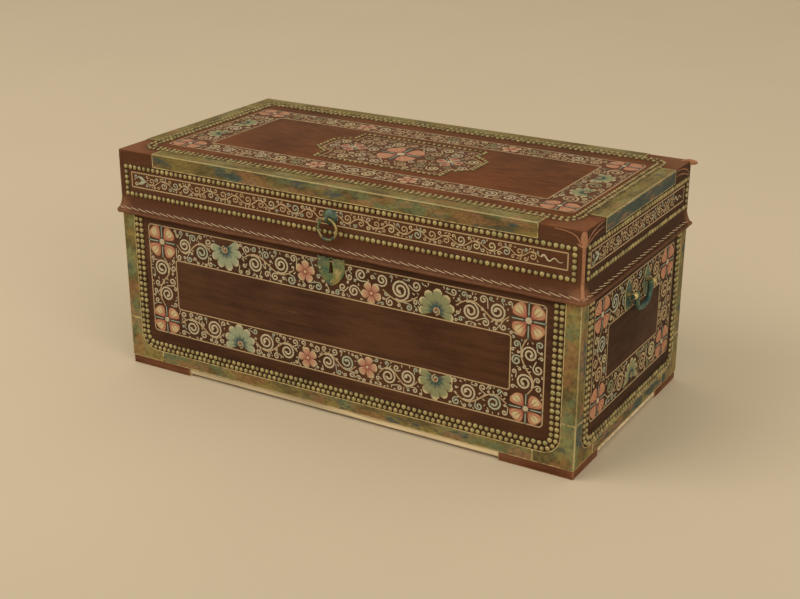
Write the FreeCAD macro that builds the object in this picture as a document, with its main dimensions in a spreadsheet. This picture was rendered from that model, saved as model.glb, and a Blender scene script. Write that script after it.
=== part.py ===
import FreeCAD, Part
import math
import os
import re

import Sketcher
from FreeCAD import Rotation, Vector

# A leather-covered, brass-bound storage chest with a hinged lid, in millimetres.
# The origin is on the floor under the middle of the chest; the front looks along -Y.

# Driving dimensions
SIZES = {
    # the chest, leather to leather
    "chest_width": 900,
    "chest_depth": 450,
    "body_height": 303,
    "lid_height": 95,
    "joint_gap": 0.4,
    # boards
    "board_thick": 18,
    "bottom_thick": 10,
    "rail_thick": 18,
    "lid_board_thick": 12,
    "tail_count": 5,
    "tail_width": 36,
    "tail_taper": 5,
    # feet
    "foot_thick": 6,
    "foot_length": 130,
    "foot_width": 95,
    "foot_lift": 0.5,
    # leather
    "leather_thick": 2,
    "leather_drop": 10,
    "flare_rise": 10,
    "flare_radius": 48,
    "flare_angle": 35.3,
    "hem_radius": 3.3,
    "back_leather_rise": 5,
    # brass binding
    "brass_thick": 1,
    "brass_leg": 35,
    "brass_round": 1.5,
    "angle_drop": 11,
    "cap_height": 78,
    "cap_length": 72,
    "seam": 0.3,
    "lid_bare": 76,
    "lid_side_leg": 24,
    # tacks
    "tack_radius": 4.6,
    "tack_dome": 3.6,
    "tack_shank": 1,
    "tack_length": 12,
    "tack_pitch": 10.4,
    "tack_clear": 0.6,
    "nail_point": 0.3,
    "row_side": 31,
    "row_rise": 26.5,
    "row_bend": 26,
    "row_spacing": 9.5,
    "top_row": 29.5,
    "top_row_bend": 26,
    "top_row_spacing": 11,
    "row_drop": 30,
    "lid_row_end": 15,
    "lid_row_high": 29.5,
    "lid_row_low": 79,
    "cartouche_length": 125,
    "cartouche_width": 84,
    "tab_reach": 31,
    "tab_width": 28,
    "tab_shoulder": 50,
    "tab_step": 13,
    "cartouche_bend": 1.5,
    # keyhole and escutcheon
    "keyhole_radius": 3.2,
    "keyhole_neck": 3.6,
    "keyhole_foot": 9,
    "keyhole_length": 23,
    "keyhole_drop": 33,
    "shield_thick": 1.5,
    "shield_width": 54,
    "shield_height": 52,
    "shield_drop": 26,
    "shield_shoulder": 29,
    "shield_belly": 44,
    "shield_dip": 1.5,
    "shield_scallop": 13.4,
    "shield_brow": 13,
    "pin_radius": 1.6,
    "pin_dome": 1.2,
    "pin_shank": 0.6,
    "pin_length": 7,
    "pin_inset": 5,
    "pin_foot": 8,
    # lock
    "lock_width": 70,
    "lock_height": 66,
    "lock_depth": 13,
    "lock_wall": 1.5,
    "cover_flange": 10,
    "key_post_radius": 1.2,
    "key_post_length": 8,
    "bolt_length": 34,
    "bolt_thick": 3,
    "bolt_height": 6,
    "bolt_play": 0.2,
    "ledge_length": 26,
    "ledge_height": 3,
    "spring_thick": 0.8,
    "spring_width": 5,
    "spring_length": 26,
    "catch_length": 60,
    "catch_width": 11,
    "catch_thick": 2,
    "catch_x": 10,
    "staple_thick": 3,
    "staple_width": 7,
    "staple_wall": 1.5,
    "staple_reach": 17,
    "staple_play": 1,
    "catch_screw_x": 22,
    "catch_screw_length": 12,
    "lock_screw_radius": 2.6,
    "lock_screw_dome": 1.4,
    "lock_screw_shank": 1.2,
    "lock_screw_length": 9,
    # hinges
    "hinge_x": 250,
    "hinge_length": 76,
    "leaf_thick": 2,
    "leaf_depth": 11,
    "knuckle_count": 5,
    "knuckle_radius": 4.5,
    "knuckle_gap": 0.4,
    "hinge_air": 0.5,
    "hinge_pin_radius": 2.5,
    "hinge_pin_play": 0.05,
    "hinge_pin_head": 3.4,
    "hinge_screw_length": 13,
    "hinge_screw_step": 26,
    "screw_radius": 2.6,
    "screw_shank": 1.3,
    "screw_play": 0.1,
    # end handles
    "handle_drop": 65,
    "post_spacing": 82,
    "post_reach": 13,
    "post_radius": 3.5,
    "post_ball": 6.5,
    "post_hole_play": 0.1,
    "plate_width": 24,
    "plate_tip": 27,
    "plate_shoulder": 8,
    "plate_arch": 25.5,
    "plate_foot": 29,
    "plate_thick": 2.4,
    "nut_width": 16,
    "nut_thick": 4,
    "bail_radius": 3.5,
    "bail_wire": 4.6,
    "bail_play": 0.06,
    "bail_air": 0.5,
    "bail_tip": 1,
    "bail_bend": 20,
    "bail_drop": 30,
    "grip_radius": 5.8,
    # ring pull
    "ring_drop": 53,
    "boss_radius": 14.5,
    "boss_dome": 7,
    "eye_reach": 10,
    "eye_radius": 5,
    "eye_thick": 4,
    "eye_hole": 2.7,
    "boss_shank": 2,
    "ring_radius": 18,
    "ring_wire": 2.15,
}

# Places that follow from the sizes
PLACES = {
    "wood_x": "(chest_width / 2 - leather_thick)",
    "wood_y": "(chest_depth / 2 - leather_thick)",
    "sill": "(foot_thick + bottom_thick)",
    "rim": "(sill + body_height)",
    "lid_seat": "(rim + joint_gap)",
    "lid_top": "(rim + lid_height)",
    "lid_deck": "(lid_top - leather_thick)",
    "rail_top": "(lid_deck - lid_board_thick)",
    "flare_z": "(rim + flare_rise)",
    "hem_out": "(flare_radius - (flare_radius - leather_thick / 2) * cos(flare_angle))",
    "hem_z": "(flare_z - (flare_radius - leather_thick / 2) * sin(flare_angle))",
    "tail_pitch": "(body_height / tail_count)",
    "keyhole_z": "(rim - keyhole_drop)",
    "shield_top": "(rim - shield_drop)",
    "shield_foot": "(shield_top - shield_height)",
    "lock_face": "(-wood_y + board_thick)",
    "lock_front": "(lock_face - lock_depth)",
    "lock_foot": "(rim - lock_height)",
    "lock_mid": "(lock_face - lock_depth / 2)",
    "staple_z": "(rim - staple_reach)",
    "bolt_low": "(staple_z + staple_wall + staple_play)",
    "bolt_start": "(catch_x - staple_thick / 2 - staple_play - bolt_length)",
    "hinge_y": "(chest_depth / 2 + hinge_air + knuckle_radius)",
    "hinge_z": "(rim + joint_gap / 2)",
    "leaf_edge": "(wood_y - leaf_depth)",
    "knuckle_pitch": "(hinge_length / knuckle_count)",
    "handle_x": "(chest_width / 2 + post_reach)",
    "handle_z": "(rim - handle_drop)",
    "bail_arm": "(post_spacing / 2 - post_ball - bail_air - bail_wire)",
    "bail_end": "(post_spacing / 2 + post_ball + bail_tip)",
    "ring_z": "(lid_top - ring_drop)",
    "eye_y": "(-chest_depth / 2 - eye_reach)",
}

doc = FreeCAD.newDocument("storage_chest")
sheet = doc.addObject("Spreadsheet::Sheet", "Sizes")
for line, (name, number) in enumerate(SIZES.items(), start=1):
    sheet.set(f"A{line}", name)
    sheet.set(f"B{line}", str(number))
    sheet.setAlias(f"B{line}", name)
doc.recompute()

nodes = []


def words(text):
    """An expression on the sheet, from one written in the names of sizes and places."""
    def spelled(match):
        name = match.group()
        if name in PLACES:
            return words(PLACES[name])
        return f"Sizes.{name}" if name in SIZES else name
    return re.sub(r"[a-z_]+", spelled, text)


def value(text):
    return float(sheet.evalExpression(words(text)))


def bind(thing, slot, text):
    thing.setExpression(slot, words(text))


def new(kind, label, **settings):
    thing = doc.addObject(kind, label)
    thing.Label = label
    for slot, setting in settings.items():
        setattr(thing, slot, setting)
    return thing


def node(thing, label=None):
    """Marks a finished piece, which is written under its label."""
    thing.Label = label or thing.Label
    nodes.append(thing)
    return thing


def place(thing, at):
    for axis, text in zip("xyz", at):
        bind(thing, "Placement.Base." + axis, text)
    return thing


# Turns that carry +Z onto each way a round piece can point
TURNS = {
    "z": Rotation(),
    "-z": Rotation(Vector(1, 0, 0), 180),
    "x": Rotation(Vector(0, 1, 0), 90),
    "y": Rotation(Vector(1, 0, 0), -90),
    "-y": Rotation(Vector(1, 0, 0), 90),
}


def turned(thing, at, along):
    thing.Placement.Rotation = TURNS[along]
    return place(thing, at)


def box(label, low, high):
    """A block from its low corner to its high corner."""
    block = new("Part::Box", label)
    for side, start, end in zip(("Length", "Width", "Height"), low, high):
        bind(block, side, f"({end}) - ({start})")
    return place(block, low)


def cylinder(label, base, radius, height, along="z"):
    rod = new("Part::Cylinder", label)
    bind(rod, "Radius", radius)
    bind(rod, "Height", height)
    return turned(rod, base, along)


def cone(label, base, radius, tip, height, along="z"):
    taper = new("Part::Cone", label)
    bind(taper, "Radius1", radius)
    bind(taper, "Radius2", tip)
    bind(taper, "Height", height)
    return turned(taper, base, along)


def dome(label, base, radius, height, along="z"):
    """A slice of a ball, flat at its base."""
    ball = f"((({height}) ^ 2 + ({radius}) ^ 2) / (2 * ({height})))"
    sink = f"({ball} - ({height}))"
    cap = new("Part::Sphere", label)
    bind(cap, "Radius", ball)
    bind(cap, "Angle1", f"asin({sink} / {ball})")
    cap.Placement.Rotation = TURNS[along]
    way = TURNS[along].multVec(Vector(0, 0, 1))
    return place(cap, [f"({text}) - {sink} * {part:.0f}" for text, part in zip(base, way)])


def fuse(label, *pieces):
    return new("Part::MultiFuse", label, Shapes=list(pieces), Refine=True)


def group(label, *pieces):
    return new("Part::Compound", label, Links=list(pieces))


def cut(label, base, *tools):
    tool = tools[0] if len(tools) == 1 else group(label + "_tools", *tools)
    return new("Part::Cut", label, Base=base, Tool=tool, Refine=True)


def mirror(label, piece, normal):
    return new("Part::Mirroring", label, Source=piece, Normal=Vector(*normal))


def on_both_sides(label, piece):
    return group(label, piece, mirror(label + "_twin", piece, (1, 0, 0)))


def on_four_corners(label, piece):
    side = mirror(label + "_side", piece, (1, 0, 0))
    rear = mirror(label + "_rear", piece, (0, 1, 0))
    return group(label, piece, side, rear, mirror(label + "_far", side, (0, 1, 0)))


def arc_centre(start, end, radius, side):
    """The centre of the short arc between two points, on the left (1) or right (-1) of its chord."""
    chord = end - start
    across = Vector(-chord.y, chord.x, 0).normalize()
    rise = math.sqrt(radius ** 2 - (chord.Length / 2) ** 2)
    return (start + end) / 2 + across * rise * side


def outline(drawing, points):
    """Closes straight runs and arcs through points held at expressions from the sketch's origin.
    A point is (x, y), or (x, y, radius, side) where an arc reaches it with its centre on that side."""
    spots = [Vector(value(point[0]), value(point[1]), 0) for point in points]
    first = drawing.GeometryCount
    starts = []
    for index, point in enumerate(points):
        before, spot = spots[index - 1], spots[index]
        if len(point) == 2:
            drawing.addGeometry(Part.LineSegment(before, spot), False)
            starts.append((1, 2))
            continue
        centre = arc_centre(before, spot, value(point[2]), point[3])
        circle = Part.Circle(centre, Vector(0, 0, 1), value(point[2]))
        ends = (before, spot) if point[3] == 1 else (spot, before)
        angles = [math.atan2(end.y - centre.y, end.x - centre.x) for end in ends]
        drawing.addGeometry(Part.ArcOfCircle(circle, *angles), False)
        starts.append((1, 2) if point[3] == 1 else (2, 1))
    for index, point in enumerate(points):
        here, after = first + index, first + (index + 1) % len(points)
        end, start = starts[index][1], starts[(index + 1) % len(points)][0]
        drawing.addConstraint(Sketcher.Constraint("Coincident", here, end, after, start))
        holds = [("DistanceX", point[0]), ("DistanceY", point[1])]
        for kind, text in holds:
            hold = Sketcher.Constraint(kind, -1, 1, here, end, value(text))
            drawing.setExpression(f"Constraints[{drawing.addConstraint(hold)}]", words(text))
        if len(point) == 4:
            hold = Sketcher.Constraint("Radius", here, value(point[2]))
            drawing.setExpression(f"Constraints[{drawing.addConstraint(hold)}]", words(point[2]))


def sketch(body, name, plane, lift, *outlines):
    """Closed outlines on one of the body's origin planes, moved along that plane's normal."""
    drawing = body.newObject("Sketcher::SketchObject", name)
    drawing.AttachmentSupport = [(role, "") for role in body.Origin.OriginFeatures if role.Role == plane]
    drawing.MapMode = "FlatFace"
    bind(drawing, "AttachmentOffset.Base.z", lift)
    for points in outlines:
        outline(drawing, points)
    return drawing


def pad(body, drawing, length, **settings):
    feature = body.newObject("PartDesign::Pad", drawing.Name + "_pad")
    feature.Profile = drawing
    bind(feature, "Length", length)
    for slot, setting in settings.items():
        setattr(feature, slot, setting)
    return feature


def pocket(body, drawing, length, backwards):
    feature = body.newObject("PartDesign::Pocket", drawing.Name + "_pocket")
    feature.Profile = drawing
    feature.Reversed = backwards
    bind(feature, "Length", length)
    return feature


def up_the_board(body, drawing, features):
    """Repeats dovetail features up the height of a board."""
    row = body.newObject("PartDesign::LinearPattern", drawing.Name + "_row")
    row.Originals = features
    row.Direction = (drawing, ["V_Axis"])
    bind(row, "Length", "tail_pitch * (tail_count - 1)")
    bind(row, "Occurrences", "tail_count")
    body.Tip = row


def corners(low, high):
    """A rectangle's four points, from two opposite corners."""
    return [low, (high[0], low[1]), high, (low[0], high[1])]


def tail(outer, inner):
    """One dovetail, wide at the face of the chest and narrow inside it."""
    middle = "sill + tail_pitch / 2"
    wide, narrow = "tail_width / 2", "(tail_width / 2 - tail_taper)"
    return [(outer, f"{middle} - {wide}"), (inner, f"{middle} - {narrow}"),
            (inner, f"{middle} + {narrow}"), (outer, f"{middle} + {wide}")]


def keyhole(label, start, end):
    """A round hole over a slot that widens to its foot, cut along Y from one depth to another."""
    depth = f"({end}) - ({start})"
    barrel = cylinder(label + "_round", ("0", start, "keyhole_z"), "keyhole_radius", depth, "y")
    slot = new("PartDesign::Body", label + "_slot")
    neck, foot, low = "keyhole_neck / 2", "keyhole_foot / 2", "keyhole_z - keyhole_length"
    drawing = sketch(slot, label + "_outline", "XZ_Plane", f"-({end})", [
        (f"-{neck}", "keyhole_z"), (f"-{foot}", low), (foot, low), (neck, "keyhole_z")])
    pad(slot, drawing, depth)
    return fuse(label, barrel, slot)


def post_holes(label):
    """The two holes of an end handle, through the right end's board and leather."""
    holes = [cylinder(f"{label}_{side}", ("wood_x - 2 * board_thick", f"{sign}post_spacing / 2", "handle_z"),
                      "post_radius + post_hole_play", "4 * board_thick", "x")
             for side, sign in (("near", "-"), ("far", ""))]
    return group(label, *holes)


def make_boards():
    """The dovetailed box of boards and the board under it."""
    front = new("PartDesign::Body", "front_blank")
    plan = sketch(front, "front_plan", "XY_Plane", "sill",
                  corners(("-wood_x", "-wood_y"), ("wood_x", "-wood_y + board_thick")))
    pad(front, plan, "body_height")
    sockets = []
    for side, lift, backwards in (("right", "wood_x", False), ("left", "-wood_x", True)):
        drawing = sketch(front, f"front_{side}_socket", "YZ_Plane", lift,
                         tail("-wood_y", "-wood_y + board_thick"))
        sockets.append(pocket(front, drawing, "board_thick", backwards))
    up_the_board(front, drawing, sockets)
    back = mirror("back_blank", front, (0, 1, 0))

    mortise = box("lock_mortise", ("-lock_width / 2", "lock_front", "lock_foot"),
                  ("lock_width / 2", "lock_face + seam", "rim + seam"))
    rebate = box("cover_rebate", ("-lock_width / 2 - cover_flange", "lock_face - lock_wall", "lock_foot"),
                 ("lock_width / 2 + cover_flange", "lock_face + seam", "rim + seam"))
    node(cut("front_board", front, mortise, rebate, keyhole("board_keyhole", "-wood_y - seam", "lock_front")))

    beds = box("lower_bed", ("hinge_x - hinge_length / 2", "leaf_edge", "rim - leaf_thick"),
               ("hinge_x + hinge_length / 2", "wood_y + seam", "rim + seam"))
    node(cut("back_board", back, on_both_sides("lower_beds", beds)))

    end = new("PartDesign::Body", "end_blank")
    plan = sketch(end, "end_plan", "XY_Plane", "sill",
                  corners(("wood_x - board_thick", "-wood_y + board_thick"),
                          ("wood_x", "wood_y - board_thick")))
    pad(end, plan, "body_height")
    drawing = sketch(end, "end_tails", "YZ_Plane", "wood_x - board_thick",
                     tail("-wood_y", "-wood_y + board_thick"), tail("wood_y", "wood_y - board_thick"))
    up_the_board(end, drawing, [pad(end, drawing, "board_thick")])
    right = node(cut("right_end_board", end, post_holes("board_post_holes")))
    node(mirror("left_end_board", right, (1, 0, 0)))
    node(box("bottom_board", ("-wood_x", "-wood_y", "foot_thick"), ("wood_x", "wood_y", "sill")))


def make_feet():
    """A block under each corner and the leather lapped round it and the bottom board."""
    block = box("foot_block", ("wood_x - foot_length", "-wood_y", "0"),
                ("wood_x", "-wood_y + foot_width", "foot_thick"))
    node(on_four_corners("foot_blocks", block))
    lap_front = box("foot_lap_front", ("wood_x - foot_length", "-chest_depth / 2", "foot_lift"),
                    ("chest_width / 2", "-wood_y", "sill"))
    lap_end = box("foot_lap_end", ("wood_x", "-wood_y", "foot_lift"),
                  ("chest_width / 2", "-wood_y + foot_width", "sill"))
    node(on_four_corners("foot_leathers", fuse("foot_leather", lap_front, lap_end)))


def make_body_leather():
    high = "rim - leather_drop"
    front = box("front_skin", ("-chest_width / 2", "-chest_depth / 2", "sill"),
                ("chest_width / 2", "-wood_y", high))
    node(cut("front_leather", front, keyhole("leather_keyhole", "-chest_depth / 2 - seam", "-wood_y + seam")))
    node(box("back_leather", ("-chest_width / 2", "wood_y", "sill"),
             ("chest_width / 2", "chest_depth / 2", high)))
    end = box("end_skin", ("wood_x", "-wood_y", "sill"), ("chest_width / 2", "wood_y", high))
    right = node(cut("right_end_leather", end, post_holes("leather_post_holes")))
    node(mirror("left_end_leather", right, (1, 0, 0)))


# Edges of the body's brass, just clear of the outer tacks' heads
TACK_ROOM = "(tack_radius + tack_clear)"
ANGLE_LEG = f"(row_side - {TACK_ROOM})"
STRIP_HEIGHT = f"(row_rise - {TACK_ROOM})"
CAP_HOLLOW = f"(row_bend + {TACK_ROOM})"


def cap_outline(side):
    """One face of a bottom corner cap: an upright leg and a flat leg with a hollow between them.
    The face runs back from the corner at +side and its leather edge."""
    leg, hollow = f"{side} - {ANGLE_LEG}", f"{side} - {ANGLE_LEG} - {CAP_HOLLOW}"
    top, shelf = "sill + cap_height", f"sill + {STRIP_HEIGHT}"
    return [(f"{side} - cap_length", "sill"), (side, "sill"), (side, top), (leg, top),
            (leg, f"{shelf} + {CAP_HOLLOW}"), (hollow, shelf, CAP_HOLLOW, -1),
            (f"{side} - cap_length", shelf)]


def flipped(points):
    """An outline turned left for right."""
    turned_points = []
    for index, point in enumerate(points):
        bend = points[(index + 1) % len(points)]
        arc = (bend[2], bend[3]) if len(bend) == 4 else ()
        turned_points.append((f"-({point[0]})", point[1]) + arc)
    return turned_points[::-1]


def make_body_brass():
    """Angles up the corners, caps at their feet and strips along the bottom."""
    angle = new("PartDesign::Body", "corner_angle")
    inner_x, inner_y = "chest_width / 2", "-chest_depth / 2"
    outer_x, outer_y = f"{inner_x} + brass_thick", f"{inner_y} - brass_thick"
    front_end, side_end = f"{inner_x} - {ANGLE_LEG}", f"{inner_y} + {ANGLE_LEG}"
    plan = sketch(angle, "angle_plan", "XY_Plane", "sill + cap_height + seam",
                  [(front_end, outer_y), (f"{outer_x} - brass_round", outer_y),
                   (outer_x, f"{outer_y} + brass_round", "brass_round", 1), (outer_x, side_end),
                   (inner_x, side_end), (inner_x, inner_y), (front_end, inner_y)])
    pad(angle, plan, "body_height - angle_drop - cap_height - seam")
    node(on_four_corners("corner_angles", angle))

    cap = new("PartDesign::Body", "corner_cap")
    front = sketch(cap, "cap_front", "XZ_Plane", "chest_depth / 2", cap_outline("chest_width / 2"))
    pad(cap, front, "brass_thick")
    end_outline = flipped(cap_outline("(chest_depth / 2 + brass_thick)"))
    end = sketch(cap, "cap_end", "YZ_Plane", "chest_width / 2", end_outline)
    pad(cap, end, "brass_thick")
    node(on_four_corners("bottom_corner_caps", cap))

    high = f"sill + {STRIP_HEIGHT}"
    reach_x = "(chest_width / 2 - cap_length - seam)"
    reach_y = "(chest_depth / 2 + brass_thick - cap_length - seam)"
    front = node(box("front_bottom_strip", (f"-{reach_x}", "-chest_depth / 2 - brass_thick", "sill"),
                     (reach_x, "-chest_depth / 2", high)))
    node(mirror("back_bottom_strip", front, (0, 1, 0)))
    end = node(box("right_bottom_strip", ("chest_width / 2", f"-{reach_y}", "sill"),
                   ("chest_width / 2 + brass_thick", reach_y, high)))
    node(mirror("left_bottom_strip", end, (1, 0, 0)))


def make_lid_boards():
    sides = {
        "lid_front_rail": (("-wood_x", "-wood_y", "lid_seat"),
                           ("wood_x", "-wood_y + rail_thick", "rail_top")),
        "lid_back_rail": (("-wood_x", "wood_y - rail_thick", "lid_seat"), ("wood_x", "wood_y", "rail_top")),
        "lid_right_rail": (("wood_x - rail_thick", "-wood_y + rail_thick", "lid_seat"),
                           ("wood_x", "wood_y - rail_thick", "rail_top")),
    }
    front = box("front_rail_blank", *sides["lid_front_rail"])
    bed = box("catch_bed", ("-catch_length / 2", "lock_mid - catch_width / 2", "lid_seat - seam"),
              ("catch_length / 2", "lock_mid + catch_width / 2", "lid_seat + catch_thick"))
    node(cut("lid_front_rail", front, bed))
    back = box("back_rail_blank", *sides["lid_back_rail"])
    bed = box("upper_bed", ("hinge_x - hinge_length / 2", "leaf_edge", "lid_seat - seam"),
              ("hinge_x + hinge_length / 2", "wood_y + seam", "lid_seat + leaf_thick"))
    node(cut("lid_back_rail", back, on_both_sides("upper_beds", bed)))
    right = node(box("lid_right_rail", *sides["lid_right_rail"]))
    node(mirror("lid_left_rail", right, (1, 0, 0)))
    node(box("lid_top_board", ("-wood_x", "-wood_y", "rail_top"), ("wood_x", "wood_y", "lid_deck")))


def make_lid_leather():
    """The top sheet, the back sheet and the skirt: one section carried round the front and both ends,
    straight on the rails, flared over the body and rolled at its hem."""
    node(box("lid_top_leather", ("-chest_width / 2", "-chest_depth / 2", "lid_deck"),
             ("chest_width / 2", "chest_depth / 2", "lid_top")))
    node(box("lid_back_leather", ("-chest_width / 2", "wood_y", "lid_seat + back_leather_rise"),
             ("chest_width / 2", "chest_depth / 2", "lid_deck")))

    section = new("Sketcher::SketchObject", "skirt_section")
    section.Placement.Rotation = Rotation(Vector(1, 1, 1), 120)
    bend = "(flare_radius - leather_thick)"
    face = "-wood_y"
    middle = f"{face} - flare_radius"
    outline(section, [
        (face, "lid_deck"), (f"{face} - leather_thick", "lid_deck"), (f"{face} - leather_thick", "flare_z"),
        (f"{middle} + {bend} * cos(flare_angle)", f"flare_z - {bend} * sin(flare_angle)", bend, -1),
        (f"{middle} + flare_radius * cos(flare_angle)", "flare_z - flare_radius * sin(flare_angle)"),
        (face, "flare_z", "flare_radius", 1)])

    def run(label, ahead, behind):
        length = new("Part::Extrusion", label, Base=section, DirMode="Custom", Dir=Vector(1, 0, 0),
                     Solid=True)
        bind(length, "LengthFwd", ahead)
        bind(length, "LengthRev", behind)
        return length

    corner = new("Part::Revolution", "skirt_corner", Source=section, Axis=Vector(0, 0, 1), Angle=90,
                 Solid=True)
    bind(corner, "Base.y", face)
    place(corner, ("wood_x", "0", "0"))
    end = run("skirt_end", "2 * wood_y", "0")
    end.Placement.Rotation = Rotation(Vector(0, 0, 1), 90)
    place(end, ("wood_x - wood_y", "-wood_y", "0"))
    hem_corner = new("Part::Torus", "hem_corner", Angle3=90)
    bind(hem_corner, "Radius1", "hem_out")
    bind(hem_corner, "Radius2", "hem_radius")
    hem_corner.Placement.Rotation = Rotation(Vector(0, 0, 1), -90)
    place(hem_corner, ("wood_x", "-wood_y", "hem_z"))
    hem_end = cylinder("hem_end", ("wood_x + hem_out", "-wood_y", "hem_z"), "hem_radius", "2 * wood_y", "y")
    hem_front = cylinder("hem_front", ("-wood_x", "-wood_y - hem_out", "hem_z"), "hem_radius",
                         "2 * wood_x", "x")

    def round_three_sides(label, front, *right):
        left = [mirror(piece.Name + "_left", piece, (1, 0, 0)) for piece in right]
        return fuse(label, front, *right, *left)

    sheet_part = round_three_sides("skirt_sheet", run("skirt_front", "wood_x", "wood_x"), corner, end)
    node(fuse("lid_skirt", sheet_part, round_three_sides("skirt_hem", hem_front, hem_corner, hem_end)))


def make_lid_brass():
    """Angle strips along the lid's edges, short of its corners, and the one corner cap that is left."""
    reach_x, reach_y = "(chest_width / 2 - lid_bare)", "(chest_depth / 2 - lid_bare)"
    top, low = "lid_top + brass_thick", "lid_top - lid_side_leg"

    def edge(label, plane, face, length):
        strip = new("PartDesign::Body", label)
        outer = f"{face} + brass_thick"
        section = sketch(strip, label + "_section", plane, "0", [
            (outer, low), (outer, f"{top} - brass_round"), (f"{outer} - brass_round", top, "brass_round", 1),
            (f"{face} - brass_leg", top), (f"{face} - brass_leg", "lid_top"), (face, "lid_top"), (face, low)])
        pad(strip, section, f"2 * {length}", Midplane=True)
        return node(strip)

    back = edge("lid_back_strip", "YZ_Plane", "chest_depth / 2", reach_x)
    node(mirror("lid_front_strip", back, (0, 1, 0)))
    right = edge("lid_right_strip", "XZ_Plane", "chest_width / 2", reach_y)
    node(mirror("lid_left_strip", right, (1, 0, 0)))

    out_x, out_y = "-chest_width / 2 - brass_thick", "chest_depth / 2 + brass_thick"
    end_x, end_y = "-chest_width / 2 + lid_bare - seam", "chest_depth / 2 - lid_bare + seam"
    legs = [
        box("cap_top_back", (out_x, "chest_depth / 2 - brass_leg", "lid_top"), (end_x, out_y, top)),
        box("cap_top_left", (out_x, end_y, "lid_top"), ("-chest_width / 2 + brass_leg", out_y, top)),
        box("cap_back", (out_x, "chest_depth / 2", low), (end_x, out_y, top)),
        box("cap_left", (out_x, end_y, low), ("-chest_width / 2", out_y, top)),
    ]
    node(fuse("lid_corner_cap", *legs))


def rounded_path(points, bend, closed):
    """A wire through points with each corner turned on an arc."""
    count = len(points)
    edges = []
    last = None
    for index in range(count):
        here = points[index]
        if not closed and index in (0, count - 1):
            entry = leave = here
        else:
            back = (points[index - 1] - here).normalize()
            ahead = (points[(index + 1) % count] - here).normalize()
            half = back.getAngle(ahead) / 2
            entry, leave = here + back * bend / math.tan(half), here + ahead * bend / math.tan(half)
            middle = here + (back + ahead).normalize() * (bend / math.sin(half) - bend)
        if last is not None:
            edges.append(Part.LineSegment(last, entry).toShape())
        if entry != leave:
            edges.append(Part.Arc(entry, middle, leave).toShape())
        if index == 0:
            first = entry
        last = leave
    if closed:
        edges.append(Part.LineSegment(last, first).toShape())
    return Part.Wire(edges)


def along_path(points, bend, closed=False):
    """Evenly spaced points along a rounded path, at about the tack pitch."""
    path = rounded_path([Vector(*point) for point in points], bend, closed)
    steps = round(path.Length / value("tack_pitch"))
    spots = path.discretize(Number=steps + 1)
    return spots[:-1] if closed else spots


def along_line(start, end, inside=False):
    """Evenly spaced points from start to end, or only those between them."""
    start, end = Vector(*start), Vector(*end)
    steps = max(2, round((end - start).Length / value("tack_pitch")))
    spots = [start + (end - start) * step / steps for step in range(steps + 1)]
    return spots[1:-1] if inside else spots


# Each upright face's outward normal and the way that runs to the right along it
FACES = {
    "front": (Vector(0, -1, 0), Vector(1, 0, 0), "chest_depth / 2", "chest_width / 2"),
    "back": (Vector(0, 1, 0), Vector(-1, 0, 0), "chest_depth / 2", "chest_width / 2"),
    "right": (Vector(1, 0, 0), Vector(0, 1, 0), "chest_width / 2", "chest_depth / 2"),
    "left": (Vector(-1, 0, 0), Vector(0, -1, 0), "chest_width / 2", "chest_depth / 2"),
}


def on_face(face, spots, lift):
    """Seats on an upright face from points across and up it, with the way their heads point."""
    normal, right, distance, _ = FACES[face]
    out = normal * (value(distance) + lift)
    return [(out + right * spot.x + Vector(0, 0, spot.y), normal) for spot in spots]


def nails(label, pattern, seats):
    """One nail's shape repeated at its seats."""
    copies = []
    for spot, normal in seats:
        copy = pattern.Shape.copy()
        copy.Placement = FreeCAD.Placement(spot, Rotation(Vector(0, 0, 1), normal))
        copies.append(copy)
    return node(new("Part::Feature", label, Shape=Part.makeCompound(copies)))


def nail(label, name):
    """A domed head on its seat with a tapered shank under it."""
    head = dome(label + "_head", ("0", "0", "0"), f"{name}_radius", f"{name}_dome")
    shank = cone(label + "_shank", ("0", "0", "0"), f"{name}_shank", "nail_point", f"{name}_length", "-z")
    made = fuse(label, head, shank)
    doc.recompute()
    return made


def body_seats(face):
    """Two rows of tacks down one side of a face, along its bottom and up the other side."""
    half, top = value(FACES[face][3]), value("rim - row_drop")
    seats = []
    for inset in (0, value("row_spacing")):
        side, low = half - value("row_side") - inset, value("sill + row_rise") + inset
        path = [(-side, top), (-side, low), (side, low), (side, top)]
        seats += on_face(face, along_path(path, value("row_bend") - inset), 0)
    return seats


def lid_side_seats(face):
    """A single row of tacks round the long panel on one side of the lid."""
    side = value(f"{FACES[face][3]} - lid_row_end")
    high, low = value("lid_top - lid_row_high"), value("lid_top - lid_row_low")
    spots = along_line((-side, high), (side, high)) + along_line((-side, low), (side, low))
    for end in (-side, side):
        spots += along_line((end, low), (end, high), inside=True)
    return on_face(face, spots, 0)


def cartouche_points():
    """The stepped outline in the middle of the lid's top, one quarter mirrored to the other three."""
    length, width = value("cartouche_length"), value("cartouche_width")
    reach, tab = value("tab_reach"), value("tab_width")
    shoulder, step = value("tab_shoulder"), value("tab_step")
    quarter = [(length + reach, tab), (length + step, shoulder - step / 2), (length, shoulder),
               (length, width)]
    left = [(-across, along) for across, along in reversed(quarter)]
    half = quarter + left
    return half + [(-across, -along) for across, along in half]


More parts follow.
